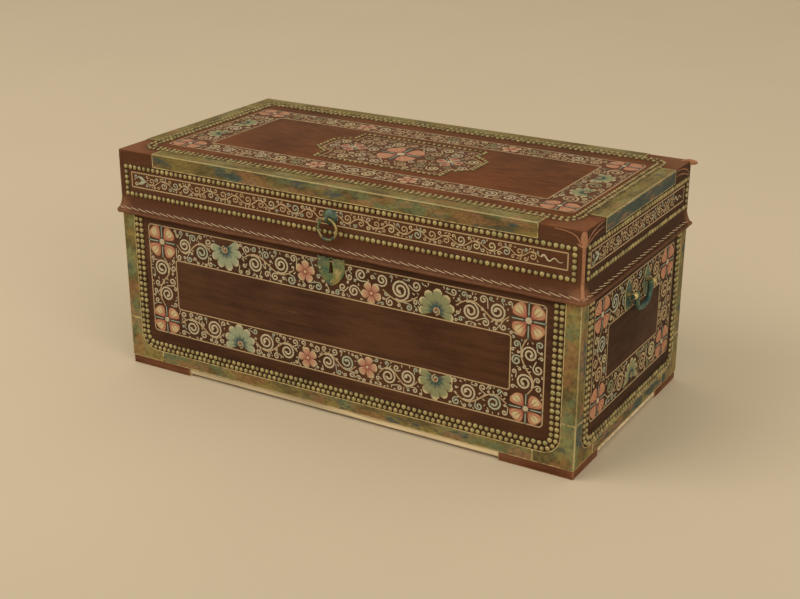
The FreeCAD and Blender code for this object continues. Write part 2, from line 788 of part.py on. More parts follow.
def lid_top_seats():
    """Two rows round the lid's top, seated on brass or on bare leather, and one round the cartouche."""
    half_x, half_y, top = value("chest_width / 2"), value("chest_depth / 2"), value("lid_top")
    bare, brass = value("lid_bare"), value("brass_thick")
    seats = []
    for inset in (0, value("top_row_spacing")):
        x, y = half_x - value("top_row") - inset, half_y - value("top_row") - inset
        bend = value("top_row_bend") - inset
        for spot in along_path([(-x, -y), (x, -y), (x, y), (-x, y)], bend, closed=True):
            in_corner = abs(spot.x) > half_x - bare and abs(spot.y) > half_y - bare
            capped = spot.x < 0 and spot.y > 0
            on_brass = inset == 0 and (capped or not in_corner)
            seats.append((Vector(spot.x, spot.y, top + brass * on_brass), Vector(0, 0, 1)))
    for spot in along_path(cartouche_points(), value("cartouche_bend"), closed=True):
        seats.append((Vector(spot.x, spot.y, top), Vector(0, 0, 1)))
    return seats


def make_tacks():
    tack = nail("tack", "tack")
    for face, name in (("front", "front"), ("back", "back"), ("left", "left_end"), ("right", "right_end")):
        nails(f"{name}_tacks", tack, body_seats(face))
    nails("lid_top_tacks", tack, lid_top_seats())
    nails("lid_front_tacks", tack, lid_side_seats("front"))
    nails("lid_back_tacks", tack, lid_side_seats("back"))
    nails("lid_end_tacks", tack, lid_side_seats("left") + lid_side_seats("right"))


def make_escutcheon():
    """A pointed shield with a scalloped brow."""
    shield = new("PartDesign::Body", "shield_plate")
    half, shoulder = "shield_width / 2", "shield_foot + shield_shoulder"
    crest, scallop = "shield_top - shield_dip", "shield_scallop"
    drawing = sketch(shield, "shield_outline", "XZ_Plane", "chest_depth / 2", [
        ("0", "shield_foot", "shield_belly", 1), (half, shoulder, "shield_belly", 1), (half, "shield_top"),
        (scallop, crest, "shield_brow", -1), ("0", crest, "shield_brow", -1),
        (f"-{scallop}", crest, "shield_brow", -1), (f"-{half}", "shield_top", "shield_brow", -1),
        (f"-{half}", shoulder)])
    pad(shield, drawing, "shield_thick")
    node(cut("escutcheon", shield, keyhole("shield_keyhole", "-chest_depth / 2 - 2 * shield_thick",
                                           "-chest_depth / 2 + seam")))
    spots = [(0, value("shield_foot + pin_foot"))]
    for sign in (-1, 1):
        spots.append((sign * value("shield_width / 2 - pin_inset"), value("shield_top - 1.6 * pin_inset")))
        spots.append((sign * value("shield_width / 2 - pin_inset"), value(shoulder)))
    pin = nail("escutcheon_pin", "pin")
    nails("escutcheon_pins", pin, on_face("front", [Vector(*spot) for spot in spots], value("shield_thick")))


def make_lock():
    """A chest lock let into the front board: its bolt slides through a staple that hangs from the lid."""
    left, right = "-lock_width / 2", "lock_width / 2"
    block = box("lock_block", (left, "lock_front", "lock_foot"), (right, "lock_face - lock_wall", "rim"))
    hollow = box("lock_hollow", (f"{left} + lock_wall", "lock_front + lock_wall", "lock_foot + lock_wall"),
                 (f"{right} - lock_wall", "lock_face", "rim - lock_wall"))
    mouth = box("staple_mouth",
                ("catch_x - staple_thick / 2 - staple_play", "lock_mid - staple_width / 2 - staple_play",
                 "rim - 2 * lock_wall"),
                ("catch_x + staple_thick / 2 + staple_play", "lock_mid + staple_width / 2 + staple_play",
                 "rim + seam"))
    shell = cut("lock_shell", block, hollow, mouth, keyhole("case_keyhole", "lock_front - seam",
                                                           "lock_front + 2 * lock_wall"))
    ledge = box("bolt_ledge",
                (f"{left} + lock_wall", "lock_front + lock_wall", "bolt_low - bolt_play - ledge_height"),
                (f"{left} + lock_wall + ledge_length", "lock_face - lock_wall", "bolt_low - bolt_play"))
    node(fuse("lock_case", shell, ledge))

    plate = box("cover_plate", (f"{left} - cover_flange", "lock_face - lock_wall", "lock_foot"),
                (f"{right} + cover_flange", "lock_face", "rim"))
    post = cylinder("key_post", ("0", "lock_face", "keyhole_z"), "key_post_radius", "key_post_length", "-y")
    node(fuse("lock_cover", plate, post))

    node(box("lock_bolt", ("bolt_start", "lock_mid - bolt_thick / 2", "bolt_low"),
             ("bolt_start + bolt_length", "lock_mid + bolt_thick / 2", "bolt_low + bolt_height")))

    spring = new("PartDesign::Body", "lock_spring")
    root, tip = f"{left} + lock_wall", f"{left} + lock_wall + spring_length"
    high, low = "rim - lock_wall", "bolt_low + bolt_height + bolt_play"
    leaf = sketch(spring, "spring_leaf", "XZ_Plane", "-lock_mid", [
        (root, f"{high} - spring_thick"), (f"{root} + spring_thick", f"{high} - spring_thick"),
        (f"{tip} - spring_thick", low), (tip, low), (tip, f"{low} + spring_thick"),
        (f"{tip} - spring_thick", f"{low} + spring_thick"), (f"{root} + spring_thick", high), (root, high)])
    pad(spring, leaf, "spring_width", Midplane=True)
    node(spring)

    screw = nail("lock_screw", "lock_screw")
    across = value("lock_width / 2 + cover_flange / 2")
    heights = (value("lock_foot + cover_flange"), value("rim - cover_flange"))
    seats = [(Vector(sign * across, value("lock_face"), height), Vector(0, 1, 0))
             for sign in (-1, 1) for height in heights]
    nails("lock_screws", screw, seats)

    plate = box("catch_plate", ("-catch_length / 2", "lock_mid - catch_width / 2", "lid_seat"),
                ("catch_length / 2", "lock_mid + catch_width / 2", "lid_seat + catch_thick"))
    drop = box("staple_block", ("catch_x - staple_thick / 2", "lock_mid - staple_width / 2", "staple_z"),
               ("catch_x + staple_thick / 2", "lock_mid + staple_width / 2", "lid_seat"))
    eye = box("staple_eye",
              ("catch_x - staple_thick", "lock_mid - staple_width / 2 + staple_wall",
               "staple_z + staple_wall"),
              ("catch_x + staple_thick", "lock_mid + staple_width / 2 - staple_wall",
               "bolt_low + bolt_height + staple_play"))
    spots = [(f"{sign}catch_screw_x", "lock_mid", "lid_seat") for sign in ("-", "")]
    fit = (spots, "z", "catch_screw_length", "catch_thick")
    drilled = cut("catch_drilled", plate, countersunk("catch_holes", *fit, "screw_play"))
    node(fuse("lid_catch", drilled, cut("staple", drop, eye)))
    node(countersunk("catch_screws", *fit, "0"))


def hinge_leaf(label, low, high, knuckles):
    """One leaf of the right-hand hinge between two heights, with its share of the knuckles."""
    start = "hinge_x - hinge_length / 2"
    edge = "hinge_y - knuckle_radius - hinge_air"
    pieces = [box(label + "_plate", (start, "leaf_edge", low), ("hinge_x + hinge_length / 2", edge, high))]
    for index in knuckles:
        near = f"{start} + knuckle_pitch * {index} + knuckle_gap / 2"
        far = f"{start} + knuckle_pitch * {index + 1} - knuckle_gap / 2"
        pieces.append(box(f"{label}_tongue_{index}", (near, edge, low), (far, "hinge_y", high)))
        pieces.append(cylinder(f"{label}_knuckle_{index}", (near, "hinge_y", "hinge_z"), "knuckle_radius",
                               "knuckle_pitch - knuckle_gap", "x"))
    bore = cylinder(label + "_bore", (start, "hinge_y", "hinge_z"), "hinge_pin_radius + hinge_pin_play",
                    "hinge_length", "x")
    return fuse(label + "_blank", *pieces), bore


def countersunk(label, spots, along, length, depth, play):
    """Flush-headed screws through a plate of some depth, or with some play the holes they sit in."""
    screws = []
    for index, spot in enumerate(spots):
        wide, narrow = f"screw_radius + {play}", f"screw_shank + {play}"
        head = cone(f"{label}_head_{index}", spot, wide, narrow, depth, along)
        shank = cylinder(f"{label}_shank_{index}", spot, narrow, length, along)
        screws.append(fuse(f"{label}_{index}", head, shank))
    return group(label, *screws)


def make_hinges():
    """Two butt hinges let into the boards' edges, their knuckles outside the back."""
    leaves = (
        ("lower", "rim - leaf_thick", "rim", "rim", "-z", 0),
        ("upper", "lid_seat", "lid_seat + leaf_thick", "lid_seat", "z", 1),
    )
    for name, low, high, face, along, first in leaves:
        blank, bore = hinge_leaf(f"{name}_leaf", low, high, range(first, SIZES["knuckle_count"], 2))
        spots = [(f"hinge_x + hinge_screw_step * {index}", "(leaf_edge + wood_y) / 2", face)
                 for index in (-1, 0, 1)]
        fit = (spots, along, "hinge_screw_length", "leaf_thick")
        holes = countersunk(f"{name}_holes", *fit, "screw_play")
        node(on_both_sides(f"{name}_hinge_leaves", cut(f"{name}_leaf", blank, bore, holes)))
        node(on_both_sides(f"{name}_hinge_screws", countersunk(f"{name}_screws", *fit, "0")))
    start = "hinge_x - hinge_length / 2"
    rod = cylinder("hinge_rod", (start, "hinge_y", "hinge_z"), "hinge_pin_radius", "hinge_length", "x")
    heads = [dome("hinge_head_far", ("hinge_x + hinge_length / 2", "hinge_y", "hinge_z"),
                  "hinge_pin_head", "hinge_pin_radius", "x")]
    heads.append(dome("hinge_head_near", ("-hinge_x + hinge_length / 2", "hinge_y", "hinge_z"),
                      "hinge_pin_head", "hinge_pin_radius", "x"))
    near = mirror("hinge_head_turned", heads[1], (1, 0, 0))
    node(on_both_sides("hinge_pins", fuse("hinge_pin", rod, heads[0], near)))


def make_handles():
    """On each end two pointed plates, two posts held by nuts, and a bail hung between the posts."""
    posts, plates, nuts = [], [], []
    for side, sign in (("near", "-"), ("far", "")):
        y = f"{sign}post_spacing / 2"
        shank = cylinder(f"post_shank_{side}", ("wood_x - board_thick - nut_thick", y, "handle_z"),
                         "post_radius", "handle_x - wood_x + board_thick + nut_thick", "x")
        ball = place(new("Part::Sphere", f"post_ball_{side}"), ("handle_x", y, "handle_z"))
        bind(ball, "Radius", "post_ball")
        bore = cylinder(f"post_bore_{side}", ("handle_x", f"{y} - 2 * post_ball", "handle_z"),
                        "bail_radius + bail_play", "4 * post_ball", "y")
        posts.append(cut(f"post_{side}", fuse(f"post_blank_{side}", shank, ball), bore))
        plate = handle_plate(f"plate_blank_{side}", y)
        hole = cylinder(f"plate_hole_{side}", ("wood_x", y, "handle_z"), "post_radius + post_hole_play",
                        "2 * post_reach", "x")
        plates.append(cut(f"plate_{side}", plate, hole))
        block = box(f"nut_block_{side}",
                    ("wood_x - board_thick - nut_thick", f"{y} - nut_width / 2", "handle_z - nut_width / 2"),
                    ("wood_x - board_thick", f"{y} + nut_width / 2", "handle_z + nut_width / 2"))
        thread = cylinder(f"nut_hole_{side}", ("wood_x - 2 * board_thick", y, "handle_z"),
                          "post_radius + post_hole_play", "2 * board_thick", "x")
        nuts.append(cut(f"nut_{side}", block, thread))
    node(on_both_sides("handle_posts", group("right_posts", *posts)))
    node(on_both_sides("handle_plates", group("right_plates", *plates)))
    node(on_both_sides("handle_nuts", group("right_nuts", *nuts)))
    right = node(make_bail())
    node(mirror("left_bail", right, (1, 0, 0)))


def bail_arc(label, y, z, radius, start, sweep):
    """A bend of the bail's rod in its own upright plane, from a start angle measured from +Y."""
    arc = new("Part::Torus", label, Angle3=sweep)
    bind(arc, "Radius1", radius)
    bind(arc, "Radius2", "bail_wire")
    arc.Placement.Rotation = Rotation(Vector(1, 1, 1), 120).multiply(Rotation(Vector(0, 0, 1), start))
    return place(arc, ("handle_x", y, z))


def handle_plate(label, y):
    """An upright plate with a rounded foot and a pointed head."""
    plate = new("PartDesign::Body", label)
    left, right = f"{y} - plate_width / 2", f"{y} + plate_width / 2"
    head, foot = "handle_z + plate_shoulder", "handle_z - plate_foot"
    drawing = sketch(plate, f"{label}_outline", "YZ_Plane", "chest_width / 2", [
        (right, head), (y, "handle_z + plate_tip", "plate_arch", 1), (left, head, "plate_arch", 1),
        (left, f"{foot} + plate_width / 2"), (y, foot, "plate_width / 2", 1),
        (right, f"{foot} + plate_width / 2", "plate_width / 2", 1)])
    pad(plate, drawing, "plate_thick")
    return plate


def make_bail():
    low = "handle_z - bail_drop"
    elbow = place(new("Part::Sphere", "bail_elbow"), ("handle_x", "bail_arm", "handle_z"))
    bind(elbow, "Radius", "bail_wire")
    half = [
        elbow,
        cylinder("bail_pin", ("handle_x", "bail_arm", "handle_z"), "bail_radius", "bail_end - bail_arm", "y"),
        cylinder("bail_side", ("handle_x", "bail_arm", f"{low} + bail_bend"), "bail_wire",
                 "bail_drop - bail_bend"),
        bail_arc("bail_heel", "bail_arm - bail_bend", f"{low} + bail_bend", "bail_bend", -90, 90),
        cone("bail_grip", ("handle_x", "0", low), "grip_radius", "bail_wire", "bail_arm - bail_bend", "y"),
    ]
    return fuse("right_bail", *half, *[mirror(piece.Name + "_near", piece, (0, 1, 0)) for piece in half])


def make_ring_pull():
    """A domed boss with a drilled eye on the lid's front, and the ring that hangs in it."""
    disc = dome("boss_disc", ("0", "-chest_depth / 2", "ring_z"), "boss_radius", "boss_dome", "-y")
    eye = cylinder("boss_eye", ("-eye_thick / 2", "eye_y", "ring_z"), "eye_radius", "eye_thick", "x")
    hole = cylinder("eye_bore", ("-boss_radius", "eye_y", "ring_z"), "eye_hole", "2 * boss_radius", "x")
    shank = cylinder("boss_rod", ("0", "-chest_depth / 2", "ring_z"), "boss_shank",
                     "leather_thick + rail_thick", "y")
    node(cut("ring_boss", fuse("boss_blank", disc, eye, shank), hole))
    ring = new("Part::Torus", "ring")
    bind(ring, "Radius1", "ring_radius")
    bind(ring, "Radius2", "ring_wire")
    node(turned(ring, ("0", "eye_y", "ring_z - ring_radius"), "y"))


make_boards()
make_feet()
make_body_leather()
make_body_brass()
make_lid_boards()
make_lid_leather()
make_lid_brass()
make_tacks()
make_escutcheon()
make_lock()
make_hinges()
make_handles()
make_ring_pull()
doc.recompute()

for thing in doc.Objects:
    if {"Invalid", "Error"} & set(thing.State):
        raise RuntimeError(f"{thing.Label} did not build")
for thing in nodes:
    if thing.Shape.isNull() or not thing.Shape.isValid() or not thing.Shape.Solids:
        raise RuntimeError(f"{thing.Label} is not a valid solid")

os.makedirs("parts", exist_ok=True)
for thing in nodes:
    thing.Shape.exportStep(f"parts/{thing.Label}.step")
    bounds = thing.Shape.BoundBox
    print(f"{thing.Label}: {len(thing.Shape.Solids)} solids, {thing.Shape.Volume:.0f} mm3,",
          f"z {bounds.ZMin:.1f} to {bounds.ZMax:.1f}")
print(len(nodes), "nodes")
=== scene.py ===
import math
import random
from contextlib import contextmanager

import bpy
import numpy as np
from mathutils import Matrix, Vector, noise


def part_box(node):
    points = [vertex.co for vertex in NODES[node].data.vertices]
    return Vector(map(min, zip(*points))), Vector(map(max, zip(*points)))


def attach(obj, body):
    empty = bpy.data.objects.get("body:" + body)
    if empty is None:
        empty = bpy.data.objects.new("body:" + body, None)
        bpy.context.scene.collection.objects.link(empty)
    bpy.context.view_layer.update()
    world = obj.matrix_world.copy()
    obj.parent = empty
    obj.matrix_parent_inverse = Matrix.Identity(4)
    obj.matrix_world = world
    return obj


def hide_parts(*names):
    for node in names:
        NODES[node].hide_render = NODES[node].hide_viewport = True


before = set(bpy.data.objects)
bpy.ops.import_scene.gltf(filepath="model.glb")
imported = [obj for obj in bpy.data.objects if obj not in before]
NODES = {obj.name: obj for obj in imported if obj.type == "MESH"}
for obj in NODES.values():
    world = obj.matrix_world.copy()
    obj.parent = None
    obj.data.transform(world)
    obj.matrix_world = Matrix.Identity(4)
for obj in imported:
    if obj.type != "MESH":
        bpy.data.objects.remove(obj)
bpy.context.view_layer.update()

bl_info = {
    "name": "Painted Leather Chest",
    "version": (1, 0, 0),
    "blender": (4, 5, 0),
    "location": "3D View > Sidebar > Chest",
    "description": "Dresses a brass-bound, painted leather storage chest and sets it up for its portrait",
    "category": "Object",
}

MM = 0.001

# Where the frame's faces lie
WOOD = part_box("front_board")
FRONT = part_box("front_leather")
LID_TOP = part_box("lid_top_leather")[1].z
LID_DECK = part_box("lid_top_board")[1].z
RIM = WOOD[1].z
WOOD_X, WOOD_Y = WOOD[1].x, -WOOD[0].y
HALF_X, HALF_Y = FRONT[1].x, -FRONT[0].y
UPRIGHT = Vector((0, 0, 1))

# Stretch that draws the dye's strokes out along level lines
LEVEL = (0.10, 0.10, 1)


def srgb(code):
    """Linear red, green and blue from a six-digit colour code."""
    parts = [int(code[place:place + 2], 16) / 255 for place in (0, 2, 4)]
    return tuple(part / 12.92 if part <= 0.04045 else ((part + 0.055) / 1.055) ** 2.4 for part in parts)


def length(name, description, default):
    return bpy.props.FloatProperty(name=name, description=description, default=default, unit="LENGTH",
                                   precision=5)


def colour(name, description, code):
    return bpy.props.FloatVectorProperty(name=name, description=description, default=srgb(code),
                                         subtype="COLOR", min=0, max=1)


class ChestSizes(bpy.types.PropertyGroup):
    """Sizes of what is modelled over the frame."""

    edge_ease: length("Eased edge", "Width of the rounding on brass and leather edges", 0.0009)
    # The pale rim along a brass sheet's edges is partly bare metal and partly a painted highlight
    brass_rim: length("Brass rim", "Breadth of the bare rim along a brass sheet's edges", 0.0014)
    tack_radius: length("Tack radius", "Radius of a tack's domed head", 0.0047)
    tack_dome: length("Tack dome", "Height of a tack's domed head", 0.0036)
    tack_gap: length("Tack gap", "Least distance between two tacks' middles", 0.0065)
    line_width: length("Ruled line", "Breadth of the painted lines round the panels", 0.0024)
    stem_width: length("Stem", "Breadth of a painted stem", 0.0023)
    paint_sink: length("Paint sink", "Depth of the painted work's edges in the leather", 0.0001)
    flare_rise: length("Flare rise", "Height over the rim where the skirt starts to flare", 0.010)
    flare_radius: length("Flare radius", "Radius of the skirt's flare on its inner face", 0.048)
    skirt_thick: length("Skirt thickness", "Thickness of the skirt's leather", 0.002)
    hem_radius: length("Hem radius", "Radius of the rolled hem", 0.0033)
    stitch_pitch: length("Stitch pitch", "Distance from one whip stitch to the next", 0.0165)
    stitch_length: length("Stitch length", "Length of one whip stitch along the hem", 0.0225)
    stitch_radius: length("Stitch radius", "Radius of the stitching thread", 0.00085)
    ridge_proud: length("Ridge", "How far the ridge down a lid corner stands out from the leather", 0.0016)
    crease_radius: length("Crease", "Radius of the creases at a bare lid corner", 0.0009)
    flare_angle: bpy.props.FloatProperty(
        name="Flare angle", description="Turn of the skirt's flare down to its hem",
        default=math.radians(35.3), subtype="ANGLE")
    paint_flatness: bpy.props.FloatProperty(
        name="Paint flatness", description="Height of a painted stroke as a share of its breadth",
        default=0.2, subtype="FACTOR")


class ChestColours(bpy.types.PropertyGroup):
    """Colours of the finishes."""

    leather_deep: colour("Leather, deep", "Shaded tone of the body's leather", "3b210f")
    leather_warm: colour("Leather, warm", "Lit tone of the body's leather", "55341d")
    lid_deep: colour("Lid leather, deep", "Shaded tone of the lid's leather", "512b12")
    lid_warm: colour("Lid leather, warm", "Lit tone of the lid's leather", "733f1b")
    worn_leather: colour("Worn leather", "Rubbed leather on corners, folds and hem", "9b6945")
    foot_leather: colour("Foot leather", "Leather lapped round the feet", "7d4d30")
    brass_olive: colour("Brass, olive", "Dull tone of the old brass", "685930")
    brass_gold: colour("Brass, gold", "Rubbed tone of the old brass", "9a8544")
    brass_pale: colour("Brass, pale", "Bare edges of the old brass", "c6b077")
    verdigris: colour("Verdigris", "Green bloom on the brass", "5c6c42")
    verdigris_blue: colour("Blue verdigris", "Blue-green bloom on the brass", "273e3e")
    rust: colour("Rust", "Red-brown stain on the brass", "98693f")
    tack_gold: colour("Tack, gold", "Polished tone of the tack heads", "a8955f")
    tack_dark: colour("Tack, dark", "Tarnished tone of the tack heads", "4e4124")
    bronze: colour("Bronze", "Green-blue patina of the handles, ring and boss", "2b4d49")
    bronze_rub: colour("Bronze, rubbed", "Bright metal through the patina", "a8945a")
    cream: colour("Cream paint", "Ruled lines and stems", "a58a61")
    scroll: colour("Scroll paint", "Pale scrolls", "ac9c79")
    sage: colour("Sage paint", "Grey-green scrolls", "97967a")
    leaf: colour("Leaf paint", "Petals of the green flowers", "898b69")
    teal: colour("Teal paint", "Dark blue-green lines in the flowers", "384b44")
    peach: colour("Peach paint", "Petals of the corner flowers", "a87653")
    rose: colour("Rose paint", "Petals of the small flowers", "ab8060")
    coral: colour("Coral paint", "Red outlines and veins of the flowers", "8f4f3a")
    moss: colour("Moss paint", "Petals of the yellow-green flowers", "7d7a52")
    umber: colour("Umber paint", "Dark ground of the bands on the lid", "58321a")
    straw: colour("Straw paint", "Pale yellow hearts of the petals", "b5a374")
    camphor: colour("Camphor wood", "Inside of the boards", "a77c4f")
    pale_wood: colour("Pale wood", "Edge of the bottom board", "dcc292")
    thread: colour("Thread", "Whip stitches along the skirt", "bb9d75")
    steel: colour("Steel", "Lock and screws", "5d5a55")
    paper: colour("Floor", "Pale floor and background", "c5b291")


class ChestStage(bpy.types.PropertyGroup):
    """Camera and light."""

    camera_place: bpy.props.FloatVectorProperty(
        name="Camera", description="Where the camera stands", default=(1.1949, -2.0011, 1.0548),
        subtype="TRANSLATION", unit="LENGTH")
    camera_turn: bpy.props.FloatProperty(
        name="Azimuth", description="Turn of the camera about the upright axis",
        default=math.radians(30.88), subtype="ANGLE")
    camera_tilt: bpy.props.FloatProperty(
        name="Elevation", description="How far the camera looks down",
        default=math.radians(21.42), subtype="ANGLE")
    camera_lens: bpy.props.FloatProperty(
        name="Lens", description="Focal length in millimetres", default=61.7, subtype="DISTANCE_CAMERA")
    key_watts: bpy.props.FloatProperty(
        name="Key light", description="Power of the large lamp on the left", default=231, unit="POWER")
    fill_watts: bpy.props.FloatProperty(
        name="Fill light", description="Power of the lamp on the right", default=60, unit="POWER")
    sky_level: bpy.props.FloatProperty(
        name="Sky", description="Level of the even light all round", default=0.78)


def sizes():
    return bpy.context.scene.chest_sizes


def colours():
    return bpy.context.scene.chest_colours


def dimmed(tone, share):
    """A colour darkened to a share of itself."""
    return tuple(part * share for part in tone)


def heading(angle):
    """The way that an angle points on a flat face."""
    return Vector((math.cos(angle), math.sin(angle)))


class Socket:
    """One output of a finish's nodes. Arithmetic on it adds Math nodes."""

    def __init__(self, finish, plug):
        self.finish = finish
        self.plug = plug

    def __add__(self, other):
        return self.finish.math("ADD", self, other)

    def __sub__(self, other):
        return self.finish.math("SUBTRACT", self, other)

    def __rsub__(self, other):
        return self.finish.math("SUBTRACT", other, self)

    def __mul__(self, other):
        return self.finish.math("MULTIPLY", self, other)

    def __abs__(self):
        return self.finish.math("ABSOLUTE", self)

    __radd__ = __add__
    __rmul__ = __mul__


class Finish:
    """A material being made: its surface shader and the nodes that feed it."""

    def __init__(self, name):
        self.material = bpy.data.materials.new(name)
        self.material.use_nodes = True
        self.tree = self.material.node_tree
        self.shader = self.tree.nodes["Principled BSDF"]

    def node(self, kind, settings=None, sockets=None, out=0):
        """Adds a node with its settings and its sockets' values or links, and gives one of its outputs."""
        made = self.tree.nodes.new(kind)
        for name, setting in (settings or {}).items():
            setattr(made, name, setting)
        self.feed(made, sockets or {})
        return Socket(self, made.outputs[out])

    def feed(self, made, sockets):
        for key, given in sockets.items():
            if isinstance(given, Socket):
                self.tree.links.new(given.plug, made.inputs[key])
            else:
                made.inputs[key].default_value = given

    def surface(self, base, roughness, normal=None, metallic=0.0, specular=0.5):
        """Feeds the surface shader and gives the finished material."""
        sockets = {"Base Color": base, "Roughness": roughness, "Metallic": metallic,
                   "Specular IOR Level": specular}
        if normal:
            sockets["Normal"] = normal
        self.feed(self.shader, sockets)
        return self.material

    def math(self, operation, *values):
        return self.node("ShaderNodeMath", {"operation": operation}, dict(enumerate(values)))

    def place(self):
        return self.node("ShaderNodeTexCoord", out="Object")

    def axis(self, letter):
        return self.node("ShaderNodeSeparateXYZ", sockets={0: self.place()}, out=letter)

    def spread(self, stretch, seed):
        """Object coordinates stretched along the axes and moved to a part of the pattern of their own."""
        return self.node("ShaderNodeMapping", sockets={
            "Vector": self.place(), "Scale": stretch, "Location": (seed * 1.7, seed * 2.3, seed * 0.9)})

    def noise(self, grain, detail=4, stretch=(1, 1, 1), seed=0):
        """Cloudy values with blots of about one grain, in metres."""
        return self.node("ShaderNodeTexNoise", sockets={
            "Vector": self.spread(stretch, seed), "Scale": 1 / grain, "Detail": detail, "Roughness": 0.6})

    def cells(self, grain):
        """Distance from the middle of soft pebbles of about one grain, in metres."""
        return self.node("ShaderNodeTexVoronoi", {"feature": "SMOOTH_F1"},
                         {"Vector": self.spread((1, 1, 1), 0), "Scale": 1 / grain}, out="Distance")

    def mask(self, value, low, high):
        """0 below low, 1 above high and smooth between them."""
        return self.node("ShaderNodeMapRange", {"interpolation_type": "SMOOTHSTEP"},
                         {"Value": value, "From Min": low, "From Max": high})

    def mix(self, share, first, second):
        """A colour between two others."""
        pair = [given if isinstance(given, Socket) else (*given, 1) for given in (first, second)]
        return self.node("ShaderNodeMix", {"data_type": "RGBA"},
                         {0: share, 6: pair[0], 7: pair[1]}, out=2)

    def shade(self, base, value, depth):
        """A colour darkened where a value is low."""
        grey = self.node("ShaderNodeCombineXYZ", sockets=dict.fromkeys(range(3), 1 - (1 - value) * depth))
        return self.node("ShaderNodeMix", {"data_type": "RGBA", "blend_type": "MULTIPLY"},
                         {0: 1.0, 6: base, 7: grey}, out=2)

    def to_edge(self, lift):
        """0 on the lid's top edges and upright corners, lifted off the leather, and less inside them."""
        x = abs(self.axis("X")) - (HALF_X + lift)
        y = abs(self.axis("Y")) - (HALF_Y + lift)
        return self.math("MAXIMUM", x + y, self.math("MAXIMUM", x, y) + self.axis("Z") - (LID_TOP + lift))

    def bump(self, height, distance, strength):
        return self.node("ShaderNodeBump", sockets={
            "Height": height, "Distance": distance, "Strength": strength})

    def attribute(self, name):
        return self.node("ShaderNodeAttribute", {"attribute_name": name}, out="Fac")


def once(build):
    """Makes a finish the first time its name is asked for, and hands out the same one after that."""
    def finish(name, *details):
        return bpy.data.materials.get(name) or build(name, *details)
    return finish


def dyed(hide, deep, warm, run):
    """Base colour of old hide: blotched tone, strokes of dye along its run and rubbed specks."""
    blotch = hide.noise(0.19, 3)
    dye = hide.noise(0.009, 6, run, 2)
    base = hide.mix(hide.mask(blotch * 0.55 + dye * 0.45, 0.36, 0.66), deep, warm)
    rub = hide.mask(hide.noise(0.006, 6, run, 5) + hide.noise(0.12, 2, seed=8) * 0.6, 0.92, 1.10)
    return hide.mix(rub * 0.14, base, colours().worn_leather)


def grained(hide, base):
    """Old hide over a base colour, with pebbled grain, fine creases and a dull wax."""
    pebble = hide.cells(0.0017)
    creases = hide.noise(0.004, 5, seed=4)
    base = hide.shade(base, hide.mask(pebble, 0.75, 0.15), 0.22)
    return hide.surface(base, 0.52 + 0.22 * hide.noise(0.03, 4, seed=2), specular=0.15,
                        normal=hide.bump(0.6 * creases - pebble, 0.0004, 0.5))


@once
def leather(name, deep, warm, run):
    """The body's hide."""
    hide = Finish(name)
    return grained(hide, dyed(hide, deep, warm, run))


@once
def lid_leather(name, deep, warm, run):
    """The lid's hide, rubbed to tan at its bare corners, tan along its rolled hem and at the foot of each
    corner, partly wear and partly painted highlight, and with painted shade on its end faces.
    """
    hide = Finish(name)
    base = dyed(hide, deep, warm, run)
    ragged = hide.noise(0.012, 5, seed=6)
    x = abs(hide.axis("X")) - HALF_X
    y = abs(hide.axis("Y")) - HALF_Y
    height = hide.axis("Z")
    corner = hide.mask(x + y + ragged * 0.014, 0.002, 0.013)
    deck = hide.mask(height, LID_TOP - 0.004, LID_TOP - 0.001)
    bare = hide.mask(x + y + ragged * 0.05, -0.075, -0.02) * deck
    hem_top = RIM - 0.0145
    # Tan along the rolled hem and at the foot of each corner: partly wear, partly a painted highlight
    hem = hide.mask(height + ragged * 0.006, hem_top + 0.006, hem_top + 0.001)
    foot = hide.mask(x + y + ragged * 0.03, -0.012, 0.016) * hide.mask(height, RIM + 0.020, RIM - 0.006)
    # Painted shade: the hide on the lid's end faces is darkened
    base = hide.shade(base, hide.mask(x, 0, -0.001), 0.46)
    tan = hide.mix(hide.noise(0.009, 4, seed=9), colours().worn_leather, warm)
    wear_and_highlight = hide.math("MAXIMUM", corner * 0.75, hide.math("MAXIMUM", bare * 0.45, hem * 0.42))
    wear_and_highlight = hide.math("MAXIMUM", wear_and_highlight, foot * 0.8)
    return grained(hide, hide.mix(wear_and_highlight, base, tan))


@once
def worn_leather(name):
    """Hide rubbed down to its tan flesh, with dark left in its creases."""
    hide = Finish(name)
    dark = hide.mask(hide.noise(0.010, 5), 0.38, 0.74) * 0.6
    base = hide.mix(dark, colours().worn_leather, colours().lid_deep)
    return hide.surface(base, 0.58 + 0.2 * hide.noise(0.004, 3), specular=0.3,
                        normal=hide.bump(hide.noise(0.004, 5), 0.0005, 0.5))


